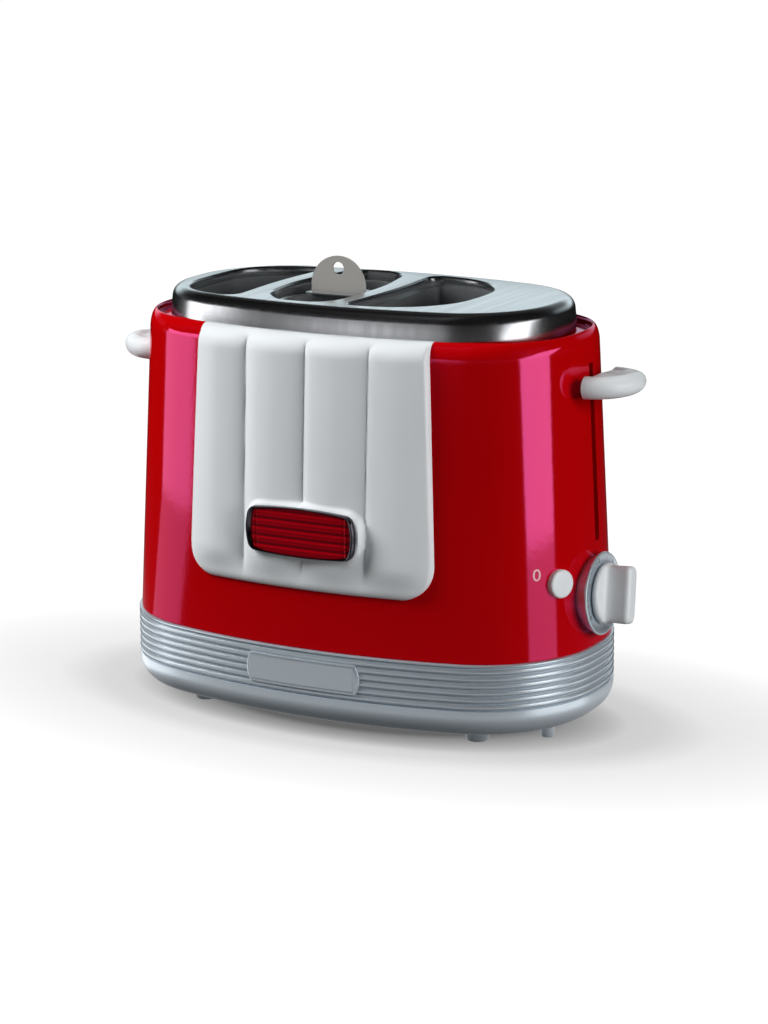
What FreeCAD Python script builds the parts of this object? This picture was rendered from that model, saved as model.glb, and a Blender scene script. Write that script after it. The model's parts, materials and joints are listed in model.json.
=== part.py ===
import FreeCAD, Part
import math
import os

import Sketcher
from FreeCAD import Placement, Rotation, Vector

# Hot dog toaster.  Millimetres, +Z up, +X towards the lever end, -Y towards the fluted front.
# The origin is on the table, under the middle of the base.

X_AXIS, Y_AXIS, Z_AXIS = Vector(1, 0, 0), Vector(0, 1, 0), Vector(0, 0, 1)

DIMENSIONS = (
    # base
    ("base_length", 260.0, "length of the base over its ribs"),
    ("base_width", 155.4, "width of the base over its ribs"),
    ("side_radius", 338.6, "radius of the long sides in plan"),
    ("end_radius", 193.8, "radius of the ends in plan"),
    ("corner_radius", 64.4, "radius of the corners in plan"),
    ("foot_height", 9.0, "gap between table and base"),
    ("base_height", 38.0, "height of the base itself"),
    ("base_wall", 2.5, "wall of the base"),
    ("rib_count", 6, "horizontal ribs round the base"),
    ("rib_pitch", 3.64, "height of one rib"),
    ("rib_depth", 1.0, "depth of the grooves between ribs"),
    ("rib_margin", 1.8, "plain edge above the ribs"),
    ("base_turn_in", 9.0, "how far the base curves in at the bottom"),
    ("foot_radius", 3.9, "feet at the base"),
    ("foot_tip_radius", 3.1, "feet at the table"),
    ("foot_spacing_long", 160.0, "feet, along the length"),
    ("foot_spacing_wide", 77.0, "feet, across the width"),
    ("peg_spacing_long", 220.0, "cord pegs, along the length"),
    ("peg_spacing_wide", 38.0, "cord pegs, across the width"),
    ("peg_clearance", 0.6, "cord pegs stop above the table"),
    # painted body
    ("body_height", 159.0, "painted body above the base"),
    ("body_step", 1.4, "body sits in from the edge of the base"),
    ("body_lean", 2.99, "draft of the body walls in degrees"),
    ("body_wall", 2.5, "wall of the body"),
    ("shoulder_radius", 5.0, "rounded top edge of the body"),
    ("ledge", 8.0, "width of the body's top ledge"),
    # steel cover
    ("cover_length", 217.0, "steel cover, length at its skirt"),
    ("cover_width", 125.0, "steel cover, width at its skirt"),
    ("cover_corner", 52.0, "corner radius of the cover"),
    ("cover_height", 13.4, "height of the cover"),
    ("cover_lean", 6.0, "draft of the cover's skirt in degrees"),
    ("cover_edge", 4.5, "rounded edge of the cover"),
    ("steel", 0.8, "sheet steel of the cover and wells"),
    # openings
    ("group_shift", -21.5, "openings sit towards the left end"),
    ("group_back", 1.0, "openings sit a little back"),
    ("opening_length", 101.0, "openings, front to back"),
    ("sausage_width", 52.0, "middle opening at its waist"),
    ("strip_width", 8.5, "bridge between two openings"),
    ("left_bun_width", 42.5, "left bun opening"),
    ("right_bun_width", 48.0, "right bun opening"),
    ("bow", 3.5, "bow of the bridges"),
    ("left_bun_corner", 36.0, "outer corners of the left bun opening"),
    ("right_bun_corner", 41.0, "outer corners of the right bun opening"),
    ("bun_taper", 3.0, "bun openings are shorter at their outer side"),
    ("tip_corner", 7.0, "tips of the bun openings"),
    ("sausage_corner", 15.0, "corners of the middle opening"),
    ("well_margin", 0.6, "wells stand back from the cover's openings"),
    ("well_step", 2.4, "bun wells narrow to this far inside their openings"),
    ("ledge_drop", 6.0, "ledge in the bun wells, below the cover"),
    # front panel and badge
    ("panel_bottom", 77.5, "lower edge of the white panel"),
    ("panel_half_low", 70.6, "half width of the panel at its lower edge"),
    ("panel_half_high", 64.8, "half width of the panel at the top"),
    ("panel_corner", 18.0, "lower corners of the panel"),
    ("panel_thickness", 1.6, "panel outside the body wall"),
    ("flute_pitch", 34.56, "distance between the valleys"),
    ("flute_bulge", 3.8, "crest of a flute over its valleys"),
    ("flute_fade", 15.0, "height over which the flutes fade out"),
    ("badge_height", 106.5, "middle of the badge above the table"),
    ("badge_length", 63.8, "badge, length"),
    ("badge_width", 25.0, "badge, height"),
    ("badge_bulge", 2.5, "badge, bow of its edges"),
    ("badge_border", 4.0, "raised pad round the badge"),
    ("badge_rim", 3.4, "width of the badge's dark rim"),
    ("plate_length", 63.8, "blank plate in the ribs"),
    ("plate_first_rib", 1, "ribs above the blank plate"),
    ("plate_ribs", 4, "ribs that the blank plate spans"),
    ("plate_thickness", 1.6, "blank plate"),
    # mechanism
    ("lever_below", 24.5, "lever's middle below the body's top edge, when it is up"),
    ("lift_below", 43.5, "lift frame's top below the lever's middle"),
    ("lift_clearance", 8.8, "lift frame above the chassis floor when it is down"),
    ("lever_side", 5.0, "lever slot, off the middle plane"),
    ("slot_width", 5.0, "lever slot"),
    ("arm_thickness", 2.5, "steel arm of the lever"),
    ("arm_height", 5.0, "depth of the lever's arm"),
    ("arm_drop", 1.7, "arm below the middle of the knob"),
    ("slot_above", 8.5, "slot goes on above the knob's middle"),
    ("slot_below", 1.8, "slot goes on below the arm"),
    ("paddle_radius", 24.5, "half round lever knob and grip"),
    ("paddle_thickness", 10.7, "lever knob and grip"),
    ("paddle_dish", 3.2, "hollow in the top of the paddles"),
    ("paddle_rim", 8.0, "rim round that hollow"),
    ("knob_gap", 0.7, "lever knob clears the wall at the bottom"),
    ("floor_height", 52.0, "underside of the chassis floor"),
    ("floor_steel", 1.2, "chassis floor"),
    ("rod_radius", 2.5, "guide rods"),
    ("rod_spacing", 36.0, "guide rods, apart"),
    ("rod_distance", 90.0, "guide rods, from the middle"),
    ("rod_clearance", 0.05, "carriage slides on the rods"),
    ("carriage_gap", 9.0, "guide rods stand beyond the carriage's plate"),
    ("shield_distance", 68.0, "heat shield, from the middle"),
    ("frame_overhang", 5.0, "lift frame goes on past the heat shield"),
    ("rods_below", 6.0, "top of the guide rods below the body's top edge"),
    ("rail_width", 2.0, "rails of the lift frame"),
    ("rail_spacing", 108.0, "rails, apart"),
    ("plate_gap", 1.5, "lifts clear the wells"),
    # sausage basket
    ("tube_radius", 18.0, "sausage tubes, outside"),
    ("tube_wall", 0.8, "sausage tubes, wall"),
    ("tube_spacing", 49.0, "sausage tubes, apart"),
    ("basket_shift", 2.0, "basket sits to the right in its opening"),
    ("ring_drop", 3.7, "rings lie below the cover"),
    ("ring_bead", 1.2, "rolled rim of a tube"),
    ("tab_radius", 15.7, "half round lifting tab"),
    ("tab_rise", 15.4, "top of the lifting tab above the cover"),
    ("tab_hole", 3.3, "hole in the tab, radius"),
    ("tab_thickness", 1.2, "tab"),
    # controls
    ("dial_height", 74.2, "dial above the table"),
    ("dial_side", -3.0, "dial, off the middle plane"),
    ("dial_radius", 21.1, "dial ring, front"),
    ("dial_flare", -0.6, "dial ring grows towards the wall"),
    ("dial_depth", 6.2, "dial ring stands out of the wall"),
    ("knob_radius", 15.5, "timer knob"),
    ("knob_disc", 3.0, "round part of the timer knob"),
    ("knob_grip", 12.6, "bar grip of the timer knob"),
    ("knob_bar", 10.0, "thickness of the bar"),
    ("shaft_radius", 3.0, "timer shaft"),
    ("running_gap", 0.4, "gap between a moving control and its seat"),
    ("button_height", 84.8, "stop button above the table"),
    ("button_bearing", -24.5, "direction that the button faces, degrees"),
    ("button_radius", 7.5, "stop button"),
    ("button_out", 3.2, "stop button stands out"),
    ("button_travel", 2.2, "stop button travel"),
    # crumb tray
    ("post_margin", 34.0, "screw posts stand clear of the tray"),
    ("post_spacing", 69.0, "screw posts, front to back"),
    ("gland_margin", 18.0, "cord outlet stands clear of the tray"),
    ("gland_back", 16.0, "cord outlet, behind the middle"),
    ("tray_length", 120.0, "crumb tray, along the toaster"),
    ("tray_depth", 118.0, "crumb tray, front to back"),
    ("tray_rise", 10.0, "crumb tray, height"),
    ("tray_sheet", 1.0, "crumb tray, sheet"),
    ("pull_width", 36.0, "finger pull of the tray"),
    ("pull_reach", 4.6, "finger pull stands out at the back"),
)

doc = FreeCAD.newDocument("hot_dog_toaster")
book = doc.addObject("Spreadsheet::Sheet", "sizes")
for row, (alias, number, meaning) in enumerate(DIMENSIONS, start=1):
    book.set(f"A{row}", meaning)
    book.set(f"B{row}", str(number))
    book.setAlias(f"B{row}", alias)
doc.recompute()


class Size:
    """A number together with the spreadsheet formula that gives it."""

    def __init__(self, number, formula=None):
        self.number = float(number)
        self.formula = formula if formula else f"({number})"

    def __float__(self):
        return self.number

    def _join(self, other, sign, number):
        return Size(number, f"({self.formula} {sign} {size(other).formula})")

    def __add__(self, other):
        return self._join(other, "+", self.number + float(other))

    def __sub__(self, other):
        return self._join(other, "-", self.number - float(other))

    def __mul__(self, other):
        return self._join(other, "*", self.number * float(other))

    def __truediv__(self, other):
        return self._join(other, "/", self.number / float(other))

    def __radd__(self, other):
        return size(other) + self

    def __rsub__(self, other):
        return size(other) - self

    def __rmul__(self, other):
        return size(other) * self

    def __neg__(self):
        return 0 - self


def size(value):
    return value if isinstance(value, Size) else Size(value)


class Sizes:
    """Every alias of the spreadsheet as a Size."""


S = Sizes()
for alias, number, meaning in DIMENSIONS:
    setattr(S, alias, Size(book.get(alias), f"sizes.{alias}"))


def tan(angle):
    """Tangent of an angle Size in degrees."""
    return Size(math.tan(math.radians(float(angle))), f"tan({angle.formula} * 1 deg)")


def bind(thing, prop, value):
    """Give a property its size, and tie it to the spreadsheet."""
    value = size(value)
    if "." not in prop:
        setattr(thing, prop, float(value))
    thing.setExpression(prop, value.formula)


# ---------------------------------------------------------------- outlines in plan


class Plan:
    """Eight-arc outline: two long arcs, two end arcs and four corner arcs, all tangent."""

    def __init__(self, half_length, half_width, side, end, corner):
        self.half_length, self.half_width = size(half_length), size(half_width)
        self.side, self.end, self.corner = size(side), size(end), size(corner)

    def grown(self, step):
        """The parallel outline, a step further out."""
        return Plan(self.half_length + step, self.half_width + step,
                    self.side + step, self.end + step, self.corner + step)

    def corner_centre(self):
        """Centre of the corner arc that touches the long arc and the end arc from inside."""
        side_y = float(self.half_width - self.side)
        end_x = float(self.half_length - self.end)
        to_side = float(self.side - self.corner)
        to_end = float(self.end - self.corner)
        gap = math.hypot(end_x, side_y)
        along = (to_side ** 2 - to_end ** 2 + gap ** 2) / (2 * gap)
        across = math.sqrt(to_side ** 2 - along ** 2)
        return max(((along * end_x + sign * across * side_y) / gap,
                    side_y + (sign * across * end_x - along * side_y) / gap) for sign in (1, -1))

    def arcs(self):
        """(centre x, centre y, radius, from, to) of the arcs, turning left from the +X end."""
        x, y = self.corner_centre()
        side_y = float(self.half_width - self.side)
        end_x = float(self.half_length - self.end)
        low = math.atan2(y, x - end_x)
        high = math.atan2(y - side_y, x)
        end, corner, side = float(self.end), float(self.corner), float(self.side)
        half, full = math.pi, 2 * math.pi
        return ((end_x, 0, end, -low, low), (x, y, corner, low, high),
                (0, side_y, side, high, half - high), (-x, y, corner, half - high, half - low),
                (-end_x, 0, end, half - low, half + low), (-x, -y, corner, half + low, half + high),
                (0, -side_y, side, half + high, full - high), (x, -y, corner, full - high, full - low))

    def point(self, bearing):
        """Point of the outline whose outward normal has this bearing in degrees."""
        angle = math.radians(float(bearing))
        for x, y, radius, low, high in self.arcs():
            for turn in (0, 2 * math.pi):
                if low - 1e-9 <= angle + turn <= high + 1e-9:
                    return Vector(x + radius * math.cos(angle), y + radius * math.sin(angle), 0)
        raise ValueError("no arc has this bearing")

    def sketch(self, body, name, height):
        """The outline as a fully constrained sketch at a height."""
        sketch = flat_sketch(body, name, "XY_Plane", height)
        for x, y, radius, low, high in self.arcs():
            circle = Part.Circle(Vector(x, y, 0), Z_AXIS, radius)
            sketch.addGeometry(Part.ArcOfCircle(circle, low, high))
        rule = Sketcher.Constraint
        rules = [rule("Tangent", i, 2, (i + 1) % 8, 1) for i in range(8)]
        rules += [rule("PointOnObject", i, 3, -1) for i in (0, 4)]
        rules += [rule("PointOnObject", i, 3, -2) for i in (2, 6)]
        rules += [rule("Equal", 0, 4), rule("Equal", 2, 6)]
        rules += [rule("Equal", 1, i) for i in (3, 5, 7)]
        sketch.addConstraint(rules)
        measure(sketch, "Radius", (0,), self.end)
        measure(sketch, "Radius", (2,), self.side)
        measure(sketch, "Radius", (1,), self.corner)
        measure(sketch, "DistanceX", (-1, 1, 0, 3), self.half_length - self.end)
        measure(sketch, "DistanceX", (-1, 1, 4, 3), self.end - self.half_length)
        measure(sketch, "DistanceY", (-1, 1, 2, 3), self.half_width - self.side)
        measure(sketch, "DistanceY", (-1, 1, 6, 3), self.side - self.half_width)
        return sketch


def flat_sketch(body, name, plane, height=0):
    """A sketch on one of the body's origin planes, moved off it by a height."""
    sketch = body.newObject("Sketcher::SketchObject", name)
    support = next(f for f in body.Origin.OriginFeatures if f.Role == plane)
    sketch.AttachmentSupport = [(support, "")]
    sketch.MapMode = "FlatFace"
    sketch.AttachmentOffset = Placement(Vector(0, 0, float(height)), Rotation())
    sketch.setExpression(".AttachmentOffset.Base.z", size(height).formula)
    return sketch


def measure(sketch, kind, where, value):
    """A sketch dimension tied to the spreadsheet."""
    value = size(value)
    index = sketch.addConstraint(Sketcher.Constraint(kind, *where, float(value)))
    sketch.setExpression(f"Constraints[{index}]", value.formula)


def polygon(sketch, points):
    """A closed polygon whose corners are tied to the spreadsheet."""
    spots = [Vector(float(x), float(y), 0) for x, y in points]
    count = len(spots)
    for i in range(count):
        sketch.addGeometry(Part.LineSegment(spots[i], spots[(i + 1) % count]))
    sketch.addConstraint([Sketcher.Constraint("Coincident", i, 2, (i + 1) % count, 1)
                          for i in range(count)])
    for i, (x, y) in enumerate(points):
        measure(sketch, "DistanceX", (-1, 1, i, 1), x)
        measure(sketch, "DistanceY", (-1, 1, i, 1), y)


# ---------------------------------------------------------------- making and keeping pieces

nodes = {}


def keep(name, thing):
    """Name a finished piece: its label is its node."""
    thing.Label = name
    nodes[name] = thing
    return thing


def new_body(name):
    return doc.addObject("PartDesign::Body", name)


def pad(body, sketch, length, lean=None, kind="Pad"):
    """Pad or pocket a sketch upwards, with walls that lean in."""
    feature = body.newObject(f"PartDesign::{kind}", f"{sketch.Name}_{kind.lower()}")
    feature.Profile = sketch
    bind(feature, "Length", length)
    if kind == "Pocket":
        feature.Reversed = True
    if lean is not None:
        bind(feature, "TaperAngle", -lean)
    doc.recompute()
    return feature


def round_edges(body, base, edges, radius):
    feature = body.newObject("PartDesign::Fillet", f"{base.Name}_fillet")
    feature.Base = (base, edges)
    bind(feature, "Radius", radius)
    doc.recompute()
    return feature


def top_edges(shape):
    """Names of the edges round the highest face."""
    top = max(shape.Faces, key=lambda face: face.CenterOfMass.z)
    return [f"Edge{i}" for i, edge in enumerate(shape.Edges, start=1)
            if any(edge.isSame(other) for other in top.Edges)]


def box(name, low, high):
    """A block between two corners."""
    thing = doc.addObject("Part::Box", name)
    for prop, axis, a, b in zip(("Length", "Width", "Height"), "xyz", low, high):
        bind(thing, prop, size(b) - size(a))
        thing.setExpression(f".Placement.Base.{axis}", size(a).formula)
    return thing


def rod(name, radius, low, high, at):
    """An upright round bar at a place in plan."""
    thing = doc.addObject("Part::Cylinder", name)
    bind(thing, "Radius", radius)
    bind(thing, "Height", size(high) - size(low))
    for axis, value in zip("xyz", (*at, low)):
        thing.setExpression(f".Placement.Base.{axis}", size(value).formula)
    return thing


def cut(name, base, *tools):
    """Base minus its tools."""
    thing = doc.addObject("Part::Cut", name)
    thing.Base = base
    thing.Tool = tools[0] if len(tools) == 1 else fuse(f"{name}_tools", *tools)
    doc.recompute()
    return thing


def fuse(name, *shapes):
    """One solid of pieces that overlap, or a group of separate ones."""
    thing = doc.addObject("Part::MultiFuse", name)
    thing.Shapes = list(shapes)
    thing.Refine = True
    doc.recompute()
    return thing


def common(name, *shapes):
    thing = doc.addObject("Part::MultiCommon", name)
    thing.Shapes = list(shapes)
    doc.recompute()
    return thing


def shaped(name, shape, place=None):
    """A piece made with Part's own functions."""
    thing = doc.addObject("Part::Feature", name)
    thing.Shape = shape
    if place is not None:
        thing.Placement = place
    return thing


def rounded_wire(corners, height=0.0):
    """Closed outline through corners (x, y, radius), with a tangent arc at each corner."""
    spots = [(Vector(float(x), float(y), height), float(r)) for x, y, r in corners]
    count = len(spots)
    stops = []
    for i, (spot, radius) in enumerate(spots):
        back = (spots[i - 1][0] - spot).normalize()
        ahead = (spots[(i + 1) % count][0] - spot).normalize()
        half = back.getAngle(ahead) / 2
        reach = radius / math.tan(half)
        middle = spot + (back + ahead).normalize() * (radius / math.sin(half) - radius)
        stops.append((spot + back * reach, middle, spot + ahead * reach, radius))
    edges = []
    for i, (start, middle, stop, radius) in enumerate(stops):
        if radius > 0:
            edges.append(Part.Arc(start, middle, stop).toShape())
        following = stops[(i + 1) % count][0]
        if stop.distanceToPoint(following) > 1e-6:
            edges.append(Part.LineSegment(stop, following).toShape())
    return Part.Wire(Part.__sortEdges__(edges))


def slab(wire, low, high):
    """Flat outline stood up between two heights."""
    face = Part.Face(wire)
    face.translate(Vector(0, 0, float(low)))
    return face.extrude(Vector(0, 0, float(high) - float(low)))


def offset_wire(wire, step):
    return wire if abs(float(step)) < 1e-9 else wire.makeOffset2D(float(step))


def standing(wire, front, back):
    """Outline drawn in X and Z, stood up between two depths in Y."""
    turned = wire.copy()
    turned.rotate(Vector(), X_AXIS, 90)
    turned.translate(Vector(0, float(front), 0))
    return Part.Face(turned).extrude(Vector(0, float(back) - float(front), 0))


def turned(section, spot=Vector()):
    """A closed section of (radius, height) corners turned about an upright axis."""
    corners = [Vector(float(r), 0, float(z)) for r, z in section]
    solid = Part.Face(Part.makePolygon(corners + corners[:1])).revolve(Vector(), Z_AXIS, 360)
    solid.translate(spot)
    return solid


def corner_arc(r, z, radius, start, stop, steps):
    """Corners of a section round (r, z), between two angles in degrees."""
    turns = [math.radians(start + (stop - start) * i / steps) for i in range(steps + 1)]
    return [(r + radius * math.cos(turn), z + radius * math.sin(turn)) for turn in turns]


# ---------------------------------------------------------------- shared places

seam = S.foot_height + S.base_height
body_top = seam + S.body_height
cover_top = body_top + S.cover_height
floor_top = S.floor_height + S.floor_steel
base_plan = Plan(S.base_length / 2, S.base_width / 2, S.side_radius, S.end_radius, S.corner_radius)
seam_plan = base_plan.grown(-S.body_step)
lean_slope = tan(S.body_lean)
rib_top = seam - S.rib_margin
rib_bottom = rib_top - S.rib_count * S.rib_pitch
rail_half = S.rail_spacing / 2
lever_height = body_top - S.lever_below
lift_height = lever_height - S.lift_below
travel = lift_height - floor_top - S.lift_clearance
rod_top = body_top - S.rods_below
tab_height = cover_top + S.tab_rise
carriage_plate = S.rod_distance - S.carriage_gap


def body_plan(height):
    """Outline of the painted body at a height above the table."""
    return seam_plan.grown((size(height) - seam) * lean_slope * -1)


def wall_place(height, bearing):
    """Placement on the body's wall: local Z is the outward normal, local X is level."""
    spot = body_plan(height).point(bearing) + Vector(0, 0, float(height))
    turn = math.radians(float(bearing))
    lean = math.radians(float(S.body_lean))
    normal = Vector(math.cos(turn) * math.cos(lean), math.sin(turn) * math.cos(lean), math.sin(lean))
    level = Vector(-math.sin(turn), math.cos(turn), 0)
    return Placement(spot, Rotation(level, normal.cross(level), normal, "ZXY"))


def on_wall(name, shape, place):
    """A piece drawn about local Z and set on the wall."""
    return shaped(name, shape, place)


def disc(radius, low, high, top_radius=None):
    """Round bar or cone along local Z."""
    radius, low, high = float(radius), float(low), float(high)
    if top_radius is None:
        return Part.makeCylinder(radius, high - low, Vector(0, 0, low))
    return Part.makeCone(radius, float(top_radius), high - low, Vector(0, 0, low))


# ---------------------------------------------------------------- base


def base_ring():
    """Ribbed wall of the base: one profile swept round the plan, and a floor."""
    body = new_body("base_body")
    path = base_plan.sketch(body, "base_path", 0)
    profile = flat_sketch(body, "base_profile", "XZ_Plane")
    edge = S.base_length / 2
    inner = edge - S.base_wall - S.rib_depth
    turn = rib_bottom - 2.4
    top_chamfer = 0.7
    outline = [(inner, seam), (edge - top_chamfer, seam), (edge, seam - top_chamfer), (edge, rib_top)]
    steps = int(S.rib_count.number)
    for rib in range(steps):
        start = rib_top - rib * S.rib_pitch
        outline += [(edge - S.rib_depth, start - S.rib_pitch * 0.06),
                    (edge - S.rib_depth * 0.25, start - S.rib_pitch * 0.24),
                    (edge, start - S.rib_pitch * 0.53),
                    (edge - S.rib_depth * 0.25, start - S.rib_pitch * 0.82)]
    outline += [(edge - S.rib_depth, rib_bottom), (edge, rib_bottom - 0.7), (edge, turn)]
    drop = turn - S.foot_height
    for share in (0.25, 0.5, 0.75):
        angle = share * math.pi / 2
        outline.append((edge - S.base_turn_in * (1 - math.cos(angle)), turn - drop * math.sin(angle)))
    outline.append((edge - S.base_turn_in, S.foot_height))
    outline.append((edge - S.base_turn_in - S.base_wall, S.foot_height))
    outline.append((edge - S.base_turn_in - S.base_wall, S.foot_height + S.base_wall))
    outline.append((inner - 1.2, turn - drop * 0.45))
    outline.append((inner, turn))
    polygon(profile, outline)
    pipe = body.newObject("PartDesign::AdditivePipe", "base_pipe")
    pipe.Profile = profile
    pipe.Spine = (path, [f"Edge{i}" for i in range(1, 9)])
    pipe.Mode = "Frenet"
    doc.recompute()
    floor = base_plan.grown(-S.base_turn_in - S.base_wall / 2).sketch(body, "base_floor", S.foot_height)
    pad(body, floor, S.base_wall)
    return body


def plate_shape(clearance=0.0):
    """Blank plate: a barrel outline cut from the band between ribs and groove bottoms."""
    top = rib_top - S.plate_first_rib * S.rib_pitch
    bottom = top - S.plate_ribs * S.rib_pitch
    outline = barrel_wire(S.plate_length / 2 + clearance, (top - bottom) / 2 + clearance,
                          2.4, 0.02, 1.2, (top + bottom) / 2)
    prism = standing(outline, -float(S.base_width), 0)
    outer = slab(plan_wire(base_plan), S.foot_height, seam)
    inner = slab(plan_wire(base_plan.grown(-S.plate_thickness)), S.foot_height, seam)
    return outer.cut(inner).common(prism)


def barrel_wire(half_x, half_z, bow_x, bow_z, corner, level):
    """Barrel outline in X and Z: four bowed edges with rounded corners, about a height."""
    half_x, half_z = float(half_x), float(half_z)
    along = (half_x ** 2 + bow_z ** 2) / (2 * bow_z)
    across = (half_z ** 2 + bow_x ** 2) / (2 * bow_x)
    wire = plan_wire(Plan(half_x, half_z, along, across, corner))
    wire.translate(Vector(0, float(level), 0))
    return wire


def plan_wire(plan):
    edges = [Part.ArcOfCircle(Part.Circle(Vector(x, y, 0), Z_AXIS, r), a, b).toShape()
             for x, y, r, a, b in plan.arcs()]
    return Part.Wire(edges)


def tray_box(side, low, high):
    """Room of the crumb tray in the base, from its front edge out through the rear wall."""
    half = S.tray_length / 2
    front = S.base_width / 2 - S.tray_depth
    return (-half - side, front - side, low), (half + side, S.base_width, high)


def make_base():
    ring = base_ring()
    ring_shape = ring.Shape
    tray_low = S.foot_height + S.base_wall
    tray_gap = 0.4
    plate = keep("name_plate", shaped("name_plate", plate_shape()))
    low, high = tray_box(tray_gap, tray_low - 0.01, tray_low + S.tray_rise + tray_gap)
    rear = (low[0], S.base_width / 4, low[2])
    slot = box("tray_slot", rear, high)
    posts = [rod(f"post_{i}", 4.5, S.foot_height + S.base_wall * 0.5, S.floor_height, at)
             for i, at in enumerate(post_places())]
    screw_holes = [rod(f"post_bore_{i}", 1.6, S.foot_height - 1, S.floor_height + 1, at)
                   for i, at in enumerate(post_places())]
    gland_hole = rod("gland_hole", 5.5, S.foot_height - 1, S.foot_height + S.base_wall + 1, gland_place())
    whole = fuse("base_whole", ring, *posts)
    keep("base_shell", cut("base_shell", whole, plate, slot, gland_hole, *screw_holes))
    gland_outer = rod("gland_outer", 5.5, S.foot_height, S.foot_height + S.base_wall, gland_place())
    gland_lip = rod("gland_lip", 7.5, S.foot_height - 1.5, S.foot_height, gland_place())
    gland_bore = rod("gland_bore", 3.6, S.foot_height - 2, S.foot_height + S.base_wall + 1, gland_place())
    keep("cord_gland", cut("cord_gland", fuse("gland_body", gland_outer, gland_lip), gland_bore))
    make_feet("feet", S.foot_spacing_long, S.foot_spacing_wide, 0)
    make_feet("cord_pegs", S.peg_spacing_long, S.peg_spacing_wide, S.peg_clearance)
    screws = []
    for i, at in enumerate(post_places()):
        shank = rod(f"screw_shank_{i}", 1.6, S.foot_height, S.floor_height, at)
        head = rod(f"screw_head_{i}", 3.2, S.foot_height - 1.8, S.foot_height, at)
        screws.append(fuse(f"screw_{i}", shank, head))
    keep("base_screws", fuse("base_screws", *screws))
    make_tray(ring_shape, tray_low)


def post_places():
    """Screw posts that carry the chassis, left and right of the tray."""
    across, along = S.post_spacing / 2, S.tray_length / 2 + S.post_margin
    return [(side * along, end * across) for side in (-1, 1) for end in (-1, 1)]


def gland_place():
    return S.tray_length / 2 + S.gland_margin, S.gland_back


def make_feet(name, long, wide, clearance):
    """Tapered feet at the corners of a rectangle."""
    feet = []
    for side in (-0.5, 0.5):
        for end in (-0.5, 0.5):
            foot = doc.addObject("Part::Cone", f"{name}_{len(feet)}")
            bind(foot, "Radius1", S.foot_tip_radius)
            bind(foot, "Radius2", S.foot_radius)
            bind(foot, "Height", S.foot_height - clearance)
            foot.setExpression(".Placement.Base.x", (side * long).formula)
            foot.setExpression(".Placement.Base.y", (end * wide).formula)
            foot.setExpression(".Placement.Base.z", size(clearance).formula)
            feet.append(foot)
    keep(name, fuse(name, *feet))


def make_tray(ring_shape, low):
    """Crumb tray: an open pan whose face closes the slot in the rear of the base."""
    start, stop = tray_box(0, low, low + S.tray_rise)
    rear = S.base_width / 2 - S.base_turn_in - 10
    pan = box("tray_pan", start, (stop[0], rear, stop[2]))
    room_low = (start[0] + S.tray_sheet, start[1] + S.tray_sheet, low + S.tray_sheet)
    room = box("tray_room", room_low, (stop[0] - S.tray_sheet, rear - S.tray_sheet, stop[2] + 1))
    hollow = cut("tray_hollow", pan, room)
    strip = box("tray_strip", (start[0], S.base_width / 4, low), stop)
    skin = shaped("tray_skin", ring_shape)
    face = common("tray_face", skin, strip)
    bridge = box("tray_bridge", (start[0], rear - S.tray_sheet, low), (stop[0], rear + 9, low + S.tray_sheet))
    half, under = S.pull_width / 2, low + S.tray_rise - 3.5
    pull = box("tray_pull", (-half, rear, under), (half, S.base_width / 2 + S.pull_reach, under + 2))
    keep("crumb_tray", fuse("crumb_tray", hollow, bridge, face, pull))


# ---------------------------------------------------------------- painted body


def body_block(name, inset=0, low=seam, high=body_top, rounding=S.shoulder_radius):
    """Solid block with the body's leaning walls, an inset inside its surface."""
    body = new_body(name)
    sketch = body_plan(low).grown(-size(inset)).sketch(body, f"{name}_plan", low)
    block = pad(body, sketch, size(high) - low, S.body_lean)
    if rounding is not None:
        round_edges(body, block, top_edges(block.Shape), rounding)
    return body


def dial_place():
    return wall_place(S.dial_height, math.degrees(math.asin(float(S.dial_side / S.end_radius))))


def button_place():
    return wall_place(S.button_height, S.button_bearing)


def make_body(outer):
    """Painted shell: hollow, open below, with a ledge round the top opening."""
    inside = body_block("body_inside", S.body_wall, seam - 1, body_top - S.body_wall,
                        S.shoulder_radius - S.body_wall)
    mouth = new_body("body_mouth")
    mouth_plan = cover_plan().grown(-S.steel - 1.6)
    pad(mouth, mouth_plan.sketch(mouth, "mouth_plan", body_top - 20), 30)
    arm_low = lever_height - S.arm_drop - S.arm_height / 2 - travel
    arm_low, arm_high = arm_low - S.slot_below, lever_height + S.slot_above
    side_low, side_high = S.lever_side - S.slot_width / 2, S.lever_side + S.slot_width / 2
    far = S.base_length / 2 + 2
    slot = box("lever_slot", (far - 25, side_low, arm_low), (far, side_high, arm_high))
    dial_hole = on_wall("dial_hole", disc(S.shaft_radius + 1.5, -15, 5), dial_place())
    button_hole = on_wall("button_hole", disc(S.button_radius + S.running_gap, -15, 8), button_place())
    keep("body_shell", cut("body_shell", outer, inside, mouth, slot, dial_hole, button_hole))


def paddle(name, x, y, z):
    """Round paddle with a full round rim and a hollow in its top."""
    radius, thick = float(S.paddle_radius), float(S.paddle_thickness)
    bend = thick / 2 - 0.4
    inner, floor = radius - float(S.paddle_rim), thick - float(S.paddle_dish)
    section = [(0, 0), *corner_arc(radius - bend, bend, bend, -90, 0, 4),
               *corner_arc(radius - bend, thick - bend, bend, 0, 90, 4),
               (inner + 0.5, thick), (inner - 0.3, thick - 0.5), (inner - 1.0, floor + 0.9),
               (inner - 2.4, floor), (0, floor)]
    return shaped(name, turned(section, Vector(float(x), float(y), float(z) - thick / 2)))


def make_grip(outer):
    """Fixed grip on the left end, the match of the lever's knob."""
    wall = body_plan(lever_height).half_length
    block = paddle("grip_block", -wall, 0, lever_height)
    keep("left_grip", cut("left_grip", block, outer))


# ---------------------------------------------------------------- fluted panel and badge


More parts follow.
